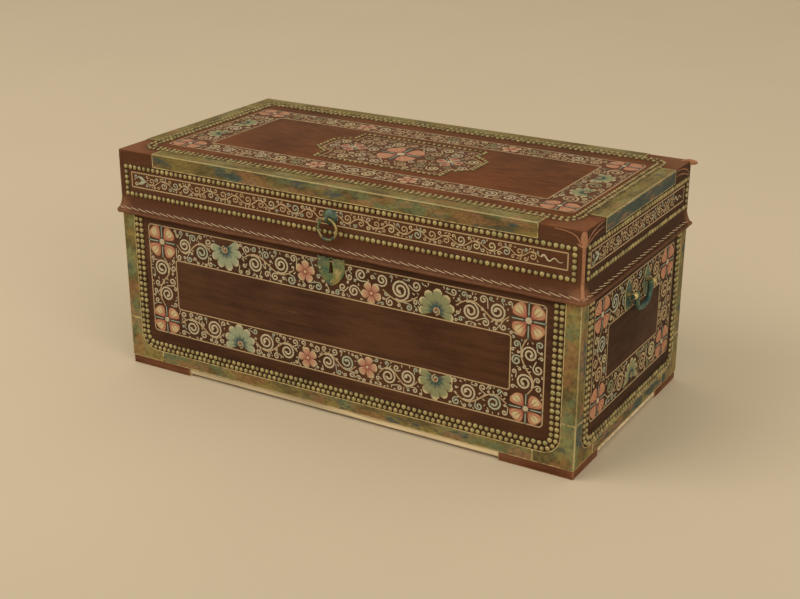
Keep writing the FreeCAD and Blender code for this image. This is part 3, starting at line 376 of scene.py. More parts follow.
@once
def brass(name, run, side_blue, deck_blue, side_rust):
    """Old sheet brass: dull olive rubbed to gold, pale where it is folded over the lid's edge and down the
    upright corners, partly bare metal and partly a painted highlight, with green, blue-green and rust blooms
    along its run, more or less of them on the lid's top and on upright faces, and more blue-green on the end
    faces, which is partly painted shade."""
    metal = Finish(name)
    tint = colours()
    deck = metal.mask(metal.axis("Z"), LID_TOP, LID_TOP + 0.0005)
    drift = metal.noise(0.022, 6, run, 1)
    base = metal.mix(metal.mask(drift + deck * 0.08, 0.36, 0.66), tint.brass_olive, tint.brass_gold)
    green = metal.mask(metal.noise(0.030, 5, run, 3), 0.48, 0.60)
    # More blue-green on every sheet's end faces: partly bloom, partly painted shade that darkens the ends
    end = metal.mask(abs(metal.axis("X")), HALF_X + 0.0006, HALF_X + 0.0009)
    share = side_blue + deck * (deck_blue - side_blue) + end * 0.5
    blue = metal.mask(metal.noise(0.026, 5, run, 7) + share * 0.25, 0.62, 0.72)
    stain = side_rust - deck * side_rust
    rust = metal.mask(metal.noise(0.020, 5, run, 12) + stain * 0.12, 0.55, 0.66)
    base = metal.shade(base, metal.mask(metal.axis("Z"), RIM + 0.05, RIM + 0.03), 0.2)
    base = metal.mix(green * (0.6 - deck * 0.4), base, tint.verdigris)
    base = metal.mix(blue * 0.8, base, tint.verdigris_blue)
    base = metal.mix(rust * 0.6, base, tint.rust)
    scratch = metal.noise(0.0028, 5, run, 16)
    base = metal.shade(base, metal.mask(scratch, 0.30, 0.62), 0.45)
    # Pale along the lid's top edges and upright corners: partly brass rubbed bare at the fold, partly a
    # painted highlight
    fold = metal.mask(metal.to_edge(0.001) + metal.noise(0.008, 4, seed=21) * 0.003, -0.0016, 0.0002)
    base = metal.mix(fold * 0.4, base, tint.brass_pale)
    bloom = metal.math("MAXIMUM", green, blue)
    return metal.surface(
        base, 0.50 + bloom * 0.16 + scratch * 0.16, metallic=0.45 - bloom * 0.35,
        normal=metal.bump(metal.noise(0.018, 4, seed=20) + scratch * 0.15, 0.0012, 0.35))


@once
def shield_brass(name):
    """The lock's shield: green-gold, blue-green to the left and a bright rub low on the right."""
    metal = Finish(name)
    tint = colours()
    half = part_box("escutcheon")[1].x
    across = metal.axis("X") * (1 / half)
    rise = (metal.axis("Z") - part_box("escutcheon")[0].z) * (1 / half)
    cloud = metal.noise(0.011, 6, seed=2)
    base = metal.mix(metal.mask(cloud, 0.38, 0.66), tint.verdigris, tint.brass_gold)
    blue = metal.mask(metal.noise(0.014, 5, seed=4) - across * 0.14 + rise * 0.05, 0.52, 0.70)
    base = metal.mix(blue * 0.65, base, tint.bronze)
    rub = metal.mask(cloud * 0.2 - abs(across - 0.5) - abs(rise - 0.95), -0.28, -0.08)
    base = metal.mix(rub * 0.8, base, tint.tack_gold)
    pits = metal.noise(0.0016, 4, seed=8)
    base = metal.shade(base, metal.mask(pits, 0.30, 0.55), 0.35)
    return metal.surface(base, 0.46 + 0.2 * cloud, metallic=0.3, normal=metal.bump(pits, 0.0005, 0.5))


@once
def brass_edge(name):
    """The bare, handled edge of a brass sheet, pale partly from wear and partly as a painted highlight."""
    metal = Finish(name)
    spots = metal.noise(0.012, 5)
    base = metal.mix(metal.mask(spots, 0.45, 0.70), colours().brass_pale, colours().brass_olive)
    return metal.surface(base, 0.36 + spots * 0.2, metallic=0.4)


@once
def tack_brass(name):
    """Domed tack heads, each of its own tone, lighter on top and dark round the rim: partly rubbed metal and
    grime, partly a painted highlight on the crown and painted shade round the rim.
    """
    metal = Finish(name)
    tint = colours()
    own = metal.attribute("own")
    crown = metal.attribute("crown")
    grime = metal.noise(0.004, 4)
    # Lighter towards the crown: partly rubbed brass, partly a painted highlight
    base = metal.mix(metal.mask(crown * 0.8 + own * 0.4 + grime * 0.3, 0.48, 1.12),
                     tint.tack_dark, tint.tack_gold)
    base = metal.mix(metal.mask(own, 0.85, 0.98) * 0.35, base, tint.verdigris)
    # Painted shade round the rim of each head, where it meets the leather
    base = metal.shade(base, metal.mask(crown, 0.0, 0.34), 0.7)
    return metal.surface(base, 0.30 + 0.25 * grime, metallic=0.45)


@once
def bronze(name, rubbed, deep):
    """Cast bronze under a blue-green patina, rubbed bright over a share of it."""
    metal = Finish(name)
    tint = colours()
    cloud = metal.noise(0.010, 6)
    base = metal.mix(metal.mask(cloud, 0.42, 0.66), deep, tint.verdigris)
    bare = metal.mask(metal.noise(0.013, 6, seed=5), 0.66 - rubbed * 0.3, 0.80 - rubbed * 0.3)
    base = metal.mix(bare, base, tint.bronze_rub)
    pits = metal.noise(0.0016, 4, seed=8)
    base = metal.shade(base, metal.mask(pits, 0.32, 0.55), 0.3)
    return metal.surface(base, 0.44 - bare * 0.1, metallic=0.35 + bare * 0.3,
                         normal=metal.bump(pits + cloud * 0.5, 0.0005, 0.5))


@once
def plain_metal(name, bright, dull):
    """Hand-finished metal with file marks and spots of tarnish."""
    metal = Finish(name)
    marks = metal.noise(0.002, 5, (0.2, 1, 1))
    base = metal.mix(metal.mask(metal.noise(0.012, 5, seed=3), 0.40, 0.68), bright, dull)
    return metal.surface(base, 0.34 + marks * 0.25, metallic=0.7, normal=metal.bump(marks, 0.0002, 0.3))


@once
def wood(name, tone, run):
    """Sawn board: rings drawn out along its run, pores and a hand-planed surface."""
    board = Finish(name)
    drift = board.noise(0.07, 3, run, 4)
    rings = board.node("ShaderNodeMath", {"operation": "SINE"}, {0: drift * 64})
    pores = board.noise(0.0022, 4, run, 6)
    base = board.mix(board.mask(rings * 0.4 + pores, -0.05, 1.15), dimmed(tone, 0.66), tone)
    base = board.shade(base, board.mask(board.noise(0.25, 3), 0.25, 0.6), 0.3)
    return board.surface(base, 0.58 + pores * 0.18, normal=board.bump(rings * 0.3 + pores, 0.0004, 0.4))


@once
def paint(name, heart, body, rim):
    """Old distemper: a colour that runs from its heart through its body to its rim, rubbed thin in places."""
    coat = Finish(name)
    mottle = coat.noise(0.005, 5)
    tone = coat.attribute("tone") + (mottle - 0.5) * 0.35
    base = coat.mix(coat.mask(tone, 0.12, 0.48), heart, body)
    base = coat.mix(coat.mask(tone, 0.74, 1.0), base, rim)
    thin = coat.mask(coat.noise(0.0032, 5, seed=3) + coat.noise(0.05, 2, seed=7) * 0.5, 0.90, 1.08)
    base = coat.mix(thin * 0.45, base, colours().leather_warm)
    return coat.surface(base, 0.62 + mottle * 0.15, specular=0.25, normal=coat.bump(mottle, 0.0002, 0.4))


@once
def thread(name):
    """Waxed flax with its twist."""
    flax = Finish(name)
    twist = flax.node("ShaderNodeTexWave", {"bands_direction": "DIAGONAL"},
                      {"Vector": flax.place(), "Scale": 420, "Distortion": 1.5}, out="Fac")
    tone = colours().thread
    base = flax.mix(twist * 0.5 + flax.noise(0.02, 3) * 0.3, tone, dimmed(tone, 0.6))
    return flax.surface(base, 0.65 + 0.1 * twist, specular=0.3, normal=flax.bump(twist, 0.0002, 0.5))


# The painter's colours: each runs from its heart through its body to its rim
PAINTS = {
    "cream": ("cream", "cream", "straw"),
    "straw": ("straw", "straw", "straw"),
    "scroll": ("scroll", "scroll", "cream"),
    "sage": ("sage", "sage", "scroll"),
    "teal": ("teal", "teal", "sage"),
    "coral": ("coral", "coral", "rose"),
    "peach": ("straw", "peach", "coral"),
    "ember": ("peach", "peach", "coral"),
    "rose": ("coral", "rose", "straw"),
    "leaf": ("teal", "leaf", "scroll"),
    "moss": ("teal", "moss", "straw"),
    "olive": ("moss", "moss", "straw"),
    "umber": ("umber", "umber", "umber"),
}


def pot(paint_name):
    """A paint's place on the palette."""
    return list(PAINTS).index(paint_name)


def palette():
    return [paint(f"paint_{name}", *[getattr(colours(), tone) for tone in tones])
            for name, tones in PAINTS.items()]


@contextmanager
def editing(piece):
    """Edit mode on one piece alone, with all of it selected."""
    choose(piece)
    bpy.ops.object.mode_set(mode="EDIT")
    bpy.ops.mesh.select_all(action="SELECT")
    yield
    bpy.ops.object.mode_set(mode="OBJECT")


def choose(*pieces):
    """Selects pieces and nothing else, the first of them active."""
    bpy.ops.object.select_all(action="DESELECT")
    for piece in pieces:
        piece.select_set(True)
    bpy.context.view_layer.objects.active = pieces[0]


def modify(piece, kind, **settings):
    """Applies one modifier to a piece."""
    choose(piece)
    modifier = piece.modifiers.new(kind.title(), kind)
    for name, setting in settings.items():
        setattr(modifier, name, setting)
    bpy.ops.object.modifier_apply(modifier=modifier.name)


def add(name, data):
    piece = bpy.data.objects.new(name, data)
    bpy.context.collection.objects.link(piece)
    return piece


def dress(piece, body, slot, *nodes):
    """Sets a finished piece on its body and hides the nodes that it stands for."""
    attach(piece, body)
    if nodes:
        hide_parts(*nodes)


def cover(finish, *nodes):
    """Gives nodes that keep their own shape a finish."""
    for node in nodes:
        for slot in NODES[node].material_slots:
            slot.material = finish


def outer(face):
    """Whether a face lies on the brass or bronze that covers the chest, and looks away from it."""
    place, way = face.center, face.normal
    square, proud = 0.99, 0.0005
    return (way.x * math.copysign(1, place.x) > square and abs(place.x) > HALF_X + proud
            or way.y * math.copysign(1, place.y) > square and abs(place.y) > HALF_Y + proud
            or way.z > square and place.z > LID_TOP + proud)


def rimmed(piece, rim, index):
    """Sets off a rim along the edges of a sheet's outer faces in its own finish."""
    with editing(piece):
        bpy.ops.mesh.select_mode(type="FACE")
        bpy.ops.mesh.select_all(action="DESELECT")
    for face in piece.data.polygons:
        face.select = outer(face)
    bpy.ops.object.mode_set(mode="EDIT")
    bpy.ops.mesh.inset(thickness=rim, use_select_inset=True)
    piece.active_material_index = index
    bpy.ops.object.material_slot_assign()
    bpy.ops.object.mode_set(mode="OBJECT")


def eased(name, node, ease, *finishes, rim=0):
    """A node's shape as a new piece with its flats joined and its edges rounded.
    The rounded edges, and a rim inside them, take the last finish."""
    piece = add(name, NODES[node].data.copy())
    piece.data.materials.clear()
    for finish in finishes:
        piece.data.materials.append(finish)
    with editing(piece):
        bpy.ops.mesh.customdata_custom_splitnormals_clear()
        bpy.ops.mesh.remove_doubles(threshold=1e-5)
        bpy.ops.mesh.dissolve_limited(angle_limit=math.radians(0.5))
    if rim:
        rimmed(piece, rim, len(finishes) - 1)
    modify(piece, "BEVEL", width=ease, segments=2, limit_method="ANGLE", angle_limit=math.radians(35),
           material=len(finishes) - 1)
    bpy.ops.object.shade_smooth_by_angle(angle=math.radians(40))
    return piece


def tubes(name, runs, finishes, facets=1, twist="Z_UP"):
    """Round strokes as one mesh. A run is its points, a radius at each, its finish and whether it closes."""
    curve = bpy.data.curves.new(name, "CURVE")
    curve.dimensions = "3D"
    curve.twist_mode = twist
    curve.bevel_depth = 1
    curve.bevel_resolution = facets
    curve.use_fill_caps = True
    for finish in finishes:
        curve.materials.append(finish)
    for points, radii, index, closed in runs:
        spline = curve.splines.new("POLY")
        spline.points.add(len(points) - 1)
        for spot, point, radius in zip(spline.points, points, radii):
            spot.co = (*point, 1)
            spot.radius = radius
        spline.use_cyclic_u = closed
        spline.material_index = index
    piece = add(name, curve)
    choose(piece)
    bpy.ops.object.convert(target="MESH")
    piece = bpy.context.object
    bpy.ops.object.shade_smooth()
    return piece


class Drawing:
    """Painted strokes and petals on one flat face of the chest, in millimetres across and up that face."""

    panel_steps = 5
    petal_rows = 7
    petal_columns = (-1, -0.55, 0, 0.55, 1)
    petal_waist = 0.68
    quadrant_columns = 12
    bar = 0.1
    crown = 0.45
    film_edge = 0.5
    film_tone = 0.6
    curl_radii = (12.5, 10.5, 8.8, 7.4, 6.3, 5.4, 4.6, 3.9, 3.4)
    comma_radii = (2.8, 2.2)
    gap = 0.05
    tints = ("scroll", "scroll", "scroll", "sage")

    def __init__(self, seed, brush=1.0):
        self.strokes = []
        self.sheets = []
        self.taken = np.empty((0, 3))
        self.chance = random.Random(seed)
        self.line = sizes().line_width / MM / 2
        self.stem = sizes().stem_width / MM / 2 * brush

    def claim(self, points, radii):
        """Keeps what is scattered later off these circles."""
        circles = [(point[0], point[1], radius) for point, radius in zip(points, radii)]
        self.taken = np.vstack((self.taken, circles))

    def stroke(self, points, widths, paint_name, lift=0.0, closed=False):
        """A stroke through points; widths is half its breadth, one for all of it or one at each point."""
        if isinstance(widths, (int, float)):
            widths = [widths] * len(points)
        rise = lift / sizes().paint_flatness
        points = [(point[0], point[1], rise) for point in points]
        self.strokes.append((points, widths, pot(paint_name), closed))

    def panel(self, low, high, bend):
        """A ruled line round a panel, its corners turned on a bend."""
        points = []
        turns = ((high[0] - bend, high[1] - bend), (low[0] + bend, high[1] - bend),
                 (low[0] + bend, low[1] + bend), (high[0] - bend, low[1] + bend))
        for quarter, (x, y) in enumerate(turns):
            for step in range(self.panel_steps + 1):
                angle = math.pi / 2 * (quarter + step / self.panel_steps)
                points.append((x + bend * math.cos(angle), y + bend * math.sin(angle)))
        self.stroke(points, self.line, "cream", closed=True)

    def scroll(self, centre, radius, start, hand, paint_name, tail=(), lift=0.0):
        """A tendril that winds in from its rim and ends in a round eye."""
        turns = 0.75 + radius / 15
        thin = self.stem * (0.88 + 0.042 * radius)
        points = list(tail)
        widths = [0.7 * thin] * len(tail)
        steps = max(9, round(13 * turns))
        for step in range(steps + 1):
            part = step / steps
            angle = start + hand * turns * math.tau * part
            reach = (radius - thin) * (1 - 0.8 * part)
            points.append(centre + heading(angle) * reach)
            widths.append(max(thin * min(1, 0.7 + 1.4 * part), 0.22 * radius * part ** 4))
        self.stroke(points, widths, paint_name, lift)

    def petal(self, base, angle, reach, half, paint_name):
        """A crowned dab of colour that widens to a round tip. Its tone runs from base to tip."""
        ahead = heading(angle)
        side = Vector((-ahead.y, ahead.x))
        rows = []
        for step in range(self.petal_rows + 1):
            along = (1 - math.cos(math.pi * step / self.petal_rows)) / 2
            tip = max(0, along - self.petal_waist) / (1 - self.petal_waist)
            breadth = half * min(1, along / self.petal_waist) ** 0.65 * math.sqrt(1 - tip ** 2)
            row = []
            for column in self.petal_columns:
                spot = base + ahead * reach * along + side * max(0.15, breadth) * column
                edge = max(abs(column), abs(2 * along - 1))
                tone = max(along, along * edge + 0.25 * edge)
                row.append((spot.x, spot.y, self.crown * (1 - edge ** 3), tone))
            rows.append(row)
        self.sheets.append((rows, pot(paint_name)))

    def quadrant(self, place, paint_name):
        """A notched square petal between two bars of a square flower. Its tone runs from heart to rim."""
        rows = []
        for step in range(self.petal_rows + 1):
            out = 0.05 + 0.95 * step / self.petal_rows
            row = []
            for column in range(self.quadrant_columns + 1):
                share = 2 * column / self.quadrant_columns - 1
                angle = math.pi / 4 * (1 + share * (1 - 0.14 * out))
                along, across = math.cos(angle), math.sin(angle)
                notch = 1 - 0.17 * math.exp(-((angle - math.pi / 4) / 0.2) ** 2)
                edge = out * (1 - self.bar) * notch * (along ** 12 + across ** 12) ** (-1 / 12)
                spot = place(self.bar + edge * along, self.bar + edge * across)
                rim = max(out, share ** 2)
                pale = math.hypot((out - 0.62) / 0.45, share)
                row.append((spot.x, spot.y, self.crown * (1 - rim ** 4), min(1, pale) ** 1.9))
            rows.append(row)
        self.sheets.append((rows, pot(paint_name)))

    def ground(self, spans):
        """A thin flat coat of umber under the drawing, with its edges let in.
        The spans are its left and right end at each level, from the lowest up."""
        film, edge, tone = 1.5 * sizes().paint_sink / MM, self.film_edge, self.film_tone
        low, high = spans[0][2], spans[-1][2]
        rows = []
        for left, right, y in spans:
            y = min(max(y, low + edge), high - edge)
            rows.append([(right, y, 0, tone), (right - edge, y, film, tone), (left + edge, y, film, tone),
                         (left, y, 0, tone)])
        for place, level in ((0, low), (len(rows) + 1, high)):
            rows.insert(place, [(spot[0], level, 0, tone) for spot in rows[min(place, len(rows) - 1)]])
        self.sheets.append((rows, pot("umber")))

    def disc(self, centre, radius, paint_name, lift):
        """A round dab at a flower's heart."""
        ring = [centre + heading(math.tau * step / 8) * radius * 0.5 for step in range(8)]
        self.stroke(ring, radius * 0.55, paint_name, lift, closed=True)

    def square_flower(self, centre, half, paint_name="peach", turn=0.0):
        """Four notched petals between the bars of a cross, with veins and a round heart."""
        for quarter in range(4):
            spin = Matrix.Rotation(quarter * math.pi / 2, 2)
            frame_of = Matrix.Rotation(turn, 2) @ Matrix(((half[0], 0), (0, half[1]))) @ spin

            def place(u, v):
                return centre + frame_of @ Vector((u, v))

            self.quadrant(place, paint_name)
            for bend in (-0.32, 0, 0.32):
                vein = heading(math.pi / 4 + bend)
                self.stroke([place(*(vein * share)) for share in (0.3, 0.62, 0.9)], [0.45, 0.6, 0.3],
                            "coral", 0.34)
            self.stroke([place(0.2, 0), place(0.55, 0), place(1, 0)],
                        [half[1] * 0.045, half[1] * 0.06, half[1] * 0.07], "teal", 0.1)
            self.stroke([place(0.3, 0), place(0.95, 0)], half[1] * 0.034, "sage", 0.35)
        self.disc(centre, half[1] * 0.19, "scroll", 0.3)
        self.claim([centre], [max(half) * 1.1])

    def fan_flower(self, centre, radius, facing, paint_name="leaf", petals=7, sweep=math.radians(205)):
        """Broad petals fanned about a curl, teal at their base, with dark veins."""
        heart = centre - heading(facing) * radius * 0.3
        for index in range(petals):
            share = index / (petals - 1) - 0.5
            angle = facing + sweep * share
            way = heading(angle)
            long = radius * (1.16 - 0.38 * abs(share))
            wide = sweep / (petals - 1) * long * 0.46
            self.petal(heart + way * radius * 0.10, angle, long * 0.95, wide, paint_name)
            for bend in (-0.16, 0, 0.16):
                vein = heading(angle + bend)
                self.stroke([heart + vein * radius * 0.2, heart + vein * radius * (0.62 - 0.9 * abs(bend))],
                            [0.8, 0.2], "teal", 0.38)
        self.disc(heart, radius * 0.2, "teal", 0.1)
        self.scroll(heart, radius * 0.27, facing + math.pi, 1, "cream", lift=0.75)
        self.stroke([heart, heart + heading(facing) * radius * 0.2],
                    [radius * 0.05, radius * 0.02], "coral", 0.95)
        self.claim([centre, heart], [radius * 0.98, radius * 0.5])

    def round_flower(self, centre, radius, turn, petals=5):
        """Five round petals with coral veins from the heart."""
        for index in range(petals):
            angle = turn + math.tau * index / petals
            way = heading(angle)
            self.petal(centre + way * radius * 0.05, angle, radius * 0.95, radius * 0.46, "rose")
            for bend in (-0.22, 0.22, math.pi / petals):
                vein = heading(angle + bend)
                self.stroke([centre, centre + vein * radius * 0.66], [0.8, 0.3], "coral", 0.36)
        self.disc(centre, radius * 0.13, "straw", 0.4)
        self.claim([centre], [radius])

    def leaf(self, base, angle, reach, paint_name):
        """A short pointed stroke."""
        ahead = heading(angle)
        self.stroke([base, base + ahead * reach * 0.5, base + ahead * reach],
                    [0.35 * self.stem, reach * 0.2, 0.2], paint_name)

    def vine(self, start, end, rise, bays):
        """A waving stem between two places, with a scroll grown out of it into each bay."""
        start, end = Vector(start), Vector(end)
        along = (end - start).normalized()
        side = Vector((-along.y, along.x)) * self.chance.choice((-1, 1))
        turn = math.copysign(1, along.cross(side))
        shares = [self.chance.uniform(0.82, 1.18) for _ in range(bays)]
        bounds = np.cumsum([0] + shares) / sum(shares)
        points = []
        for bay, (left, right) in enumerate(zip(bounds, bounds[1:])):
            up = 1 if bay % 2 == 0 else -1
            swell = rise * self.chance.uniform(0.85, 1.08)
            for step in range(10):
                part = step / 10
                points.append(start.lerp(end, left + (right - left) * part)
                              + side * up * swell * math.sin(math.pi * part))
            radius = min(swell * 1.4, (end - start).length * (right - left) * 0.45)
            eye = points[-5] - side * up * radius * 0.97
            over = math.atan2(side.y * up, side.x * up)
            self.scroll(eye, radius, over + turn * up * 0.5, -turn * up, self.chance.choice(self.tints))
            self.claim([eye], [radius])
        points.append(end)
        self.stroke(points, [self.stem * (0.85 + 0.35 * math.sin(math.pi * step / (len(points) - 1)))
                             for step in range(len(points))], "cream")
        self.claim(points[::2], [self.stem] * len(points[::2]))

    def zigzag(self, start, end, rise, teeth):
        """A waving line that tapers away."""
        start, end = Vector(start), Vector(end)
        steps = 6 * teeth
        points, widths = [], []
        for step in range(steps + 1):
            part = step / steps
            spot = start.lerp(end, part)
            spot.y += rise * (1 - 0.6 * part) * math.sin(math.pi * teeth * part)
            points.append(spot)
            widths.append(self.stem * (2 - 1.5 * part))
        self.stroke(points, widths, "scroll")
        self.claim(points, widths)

    def scatter(self, low, high, hole_low, hole_high, tries, largest=15):
        """Fills a band with scrolls, the large ones first, each hung on what is nearest to it,
        and with commas in the last gaps."""
        for radius in self.curl_radii + self.comma_radii:
            if radius > largest:
                continue
            reach = radius + self.gap
            for _ in range(int(tries * 16 / radius)):
                spot = Vector((self.chance.uniform(low[0], high[0]), self.chance.uniform(low[1], high[1])))
                inside = all(edge + reach < place < other - reach
                             for edge, place, other in zip(low, spot, high))
                in_hole = all(edge - reach < place < other + reach
                              for edge, place, other in zip(hole_low, spot, hole_high))
                if in_hole or not inside:
                    continue
                room = np.hypot(self.taken[:, 0] - spot.x, self.taken[:, 1] - spot.y) - self.taken[:, 2]
                nearest = room.argmin()
                if room[nearest] < reach:
                    continue
                self.tendril(spot, radius, Vector(self.taken[nearest, :2]), self.taken[nearest, 2])
                self.claim([spot], [radius])

    def tendril(self, spot, radius, root, room):
        """A scroll grown from its near neighbour's rim, or a comma where there is no room for one."""
        paint_name = self.chance.choice(self.tints)
        way = (spot - root).normalized()
        far = (spot - root).length
        hand = self.chance.choice((-1, 1))
        if radius in self.comma_radii:
            slant = Vector((-way.y, way.x)) * radius * 0.6 * hand
            ends = self.chance.choice(((0.16, 0.42, 0.55), (0.2, 0.52, 0.1)))
            self.stroke([spot - slant - way * radius * 1.1, spot, spot + slant * 0.5 + way * radius * 0.6],
                        [radius * share for share in ends], paint_name)
            return
        lean = math.acos(min(1, (radius + room) / far)) * hand
        leaving = math.atan2(way.y, way.x) + lean
        rim = root + heading(leaving) * room * 0.96
        tail = [rim] if far < room + 3 * radius else []
        self.scroll(spot, radius, leaving + math.pi, hand, paint_name, tail)

    def lay(self, name, origin, across, up):
        """The drawing as one piece on its face: strokes as flattened tubes, petals as thin lenses."""
        paints = palette()
        piece = tubes(name, self.strokes, paints)
        flat = Matrix.Diagonal((1, 1, sizes().paint_flatness, 1))
        piece.data.transform(flat)
        if self.sheets:
            blooms = add(name + "_petals", self.petal_mesh(name, paints))
            choose(piece, blooms)
            bpy.ops.object.join()
        normal = across.cross(up)
        seat = Matrix((across, up, normal)).transposed().to_4x4()
        seat.translation = origin
        piece.data.transform(seat @ Matrix.Scale(MM, 4))
        return piece

    def petal_mesh(self, name, paints):
        spots, faces, marks, tones = [], [], [], []
        sink = sizes().paint_sink / MM
        for rows, index in self.sheets:
            first, breadth = len(spots), len(rows[0])
            for x, y, crown, tone in (spot for row in rows for spot in row):
                spots.append((x, y, crown - sink))
                tones.append(tone)
            corner = [first + row * breadth for row in range(len(rows))]
            for low, high in zip(corner, corner[1:]):
                faces += [(low + step, low + step + 1, high + step + 1, high + step)[::-1]
                          for step in range(breadth - 1)]
            border = list(range(corner[0], corner[0] + breadth))
            border += [start + breadth - 1 for start in corner[1:-1]]
            border += list(range(corner[-1], corner[-1] + breadth))[::-1]
            border += corner[-2:0:-1]
            faces.append(tuple(border))
            marks += [index] * (len(faces) - len(marks))
        mesh = bpy.data.meshes.new(name + "_petals")
        mesh.from_pydata(spots, [], faces)
        for finish in paints:
            mesh.materials.append(finish)
        mesh.polygons.foreach_set("material_index", marks)
        mesh.attributes.new("tone", "FLOAT", "POINT").data.foreach_set("value", tones)
        mesh.polygons.foreach_set("use_smooth", [True] * len(mesh.polygons))
        return mesh


def border(drawing, low, high, inner_low, inner_high, paint_name="peach"):
    """Two ruled lines, and a square flower at each corner of the band between them."""
    drawing.panel(low, high, 7)
    drawing.panel(inner_low, inner_high, 5)
    wide = (inner_low[0] - low[0]) / 2
    for x in (low[0] + wide, high[0] - wide):
        for edge, inner in ((low[1], inner_low[1]), (high[1], inner_high[1])):
            tall = abs(inner - edge) / 2
            drawing.square_flower(Vector((x, (edge + inner) / 2)), (wide * 1.02, tall * 1.02), paint_name)


def stems(drawing, level, stops, rise, pitch, upright=False):
    """Waving stems along a band at one level, each between two stops."""
    for start, end in zip(stops[::2], stops[1::2]):
        bays = max(1, round((end - start) / pitch))
        ends = ((level, start), (level, end)) if upright else ((start, level), (end, level))
        drawing.vine(*ends, rise, bays)


class ChestOperator(bpy.types.Operator):
    """Makes one group of the chest's pieces"""

    bl_options = {"REGISTER", "UNDO"}

    def execute(self, context):
        self.make()
        return {"FINISHED"}


class CHEST_OT_stage(ChestOperator):
    """Sets out the floor, the light and the camera"""

    bl_idname = "chest.stage"
    bl_label = "Stage"

    floor_breadth = 40
    key_place, key_breadth = (-3.4, -4.0, 5.0), 5.0
    fill_place, fill_breadth = (3.6, -2.0, 2.0), 2.4
    sky_tint = (1, 0.97, 0.92, 1)
    backdrop_level = 0.9
    # The floor darkens by this share from the chest to the viewer, between these distances
    dusk, dusk_near, dusk_far = 0.2, 1.4, 0.2

    def make(self):
        stage = bpy.context.scene.chest_stage
        bpy.ops.object.select_all(action="DESELECT")
        bpy.ops.mesh.primitive_plane_add(size=self.floor_breadth)
        floor = bpy.context.object
        floor.name = "floor"
        paper = Finish("paper")
        tone = colours().paper
        base = paper.mix(paper.noise(0.6, 4), tone, dimmed(tone, 0.93))
        near = paper.axis("X") * math.sin(stage.camera_turn) - paper.axis("Y") * math.cos(stage.camera_turn)
        base = paper.shade(base, paper.mask(near, self.dusk_near, self.dusk_far), self.dusk)
        floor.data.materials.append(paper.surface(base, 0.9))

        self.lamp("key", self.key_place, self.key_breadth, stage.key_watts)
        self.lamp("fill", self.fill_place, self.fill_breadth, stage.fill_watts)
        self.sky(stage.sky_level)

        bpy.ops.object.camera_add(location=stage.camera_place,
                                  rotation=(math.pi / 2 - stage.camera_tilt, 0, stage.camera_turn))
        camera = bpy.context.object
        camera.data.lens = stage.camera_lens
        camera.data.clip_end = 60
        bpy.context.scene.camera = camera
        bpy.context.scene.view_settings.view_transform = "Standard"

    def lamp(self, name, place, size, watts):
        """A square soft lamp turned to the middle of the chest."""
        bpy.ops.object.light_add(type="AREA", location=place)
        lamp = bpy.context.object
        lamp.name = name
        lamp.data.size = size
        lamp.data.energy = watts
        aim = Vector((0, 0, RIM / 2)) - lamp.location
        lamp.rotation_euler = aim.to_track_quat("-Z", "Y").to_euler()

    def sky(self, level):
        """Even light all round; the camera and bright metal see the floor's colour instead."""
        world = bpy.data.worlds.new("studio")
        world.use_nodes = True
        bpy.context.scene.world = world
        tree = world.node_tree
        output = tree.nodes["World Output"]
        light = tree.nodes["Background"]
        light.inputs["Color"].default_value = self.sky_tint
        light.inputs["Strength"].default_value = level
        backdrop = tree.nodes.new("ShaderNodeBackground")
        backdrop.inputs["Color"].default_value = (*colours().paper, 1)
        backdrop.inputs["Strength"].default_value = self.backdrop_level
        ray = tree.nodes.new("ShaderNodeLightPath")
        seen = tree.nodes.new("ShaderNodeMath")
        seen.operation = "MAXIMUM"
        tree.links.new(ray.outputs["Is Camera Ray"], seen.inputs[0])
        tree.links.new(ray.outputs["Is Glossy Ray"], seen.inputs[1])
        mix = tree.nodes.new("ShaderNodeMixShader")
        tree.links.new(seen.outputs[0], mix.inputs[0])
        tree.links.new(light.outputs[0], mix.inputs[1])
        tree.links.new(backdrop.outputs[0], mix.inputs[2])
        tree.links.new(mix.outputs[0], output.inputs["Surface"])


class CHEST_OT_boards(ChestOperator):
    """Gives the boards their wood"""

    bl_idname = "chest.boards"
    bl_label = "Boards"

    along_x = (0.06, 1, 1)
    along_y = (1, 0.06, 1)

    def make(self):
        camphor = colours().camphor
        cover(wood("camphor_long", camphor, self.along_x), "front_board", "back_board", "lid_front_rail",
              "lid_back_rail", "lid_top_board")
        cover(wood("camphor_end", camphor, self.along_y), "left_end_board", "right_end_board",
              "lid_left_rail", "lid_right_rail")
        cover(wood("pale_board", colours().pale_wood, self.along_x), "bottom_board", "foot_blocks")


class CHEST_OT_leather(ChestOperator):
    """Lays the leather on the body, the lid's top and back, and the feet"""

    bl_idname = "chest.leather"
    bl_label = "Leather sheets"

    across_top = (0.25, 1, 1)
    end_shade = 0.68

    def make(self):
        tint = colours()
        ease = sizes().edge_ease
        body = leather("body_hide", tint.leather_deep, tint.leather_warm, LEVEL)
        # Painted shade: the ends' hide is the body's hide darkened to a share of itself
        ends = leather("end_hide_shaded", dimmed(tint.leather_deep, self.end_shade),
                       dimmed(tint.leather_warm, self.end_shade), LEVEL)
        for side, finish in (("front", body), ("back", body), ("left_end", ends), ("right_end", ends)):
            sheet = eased(f"{side}_hide", f"{side}_leather", ease, finish)
            dress(sheet, "chest", "dark_leather", f"{side}_leather")
        top = lid_leather("lid_top_hide", tint.lid_deep, tint.lid_warm, self.across_top)
        dress(eased("lid_top_hide", "lid_top_leather", ease, top), "lid", "lid_leather", "lid_top_leather")
        dress(eased("lid_back_hide", "lid_back_leather", ease, body), "lid", "lid_leather",
              "lid_back_leather")
        foot = leather("foot_hide", tint.lid_deep, tint.foot_leather, LEVEL)
        dress(eased("foot_hides", "foot_leathers", 2 * ease, foot, worn_leather("worn_hide")), "chest",
              "foot_leather", "foot_leathers")


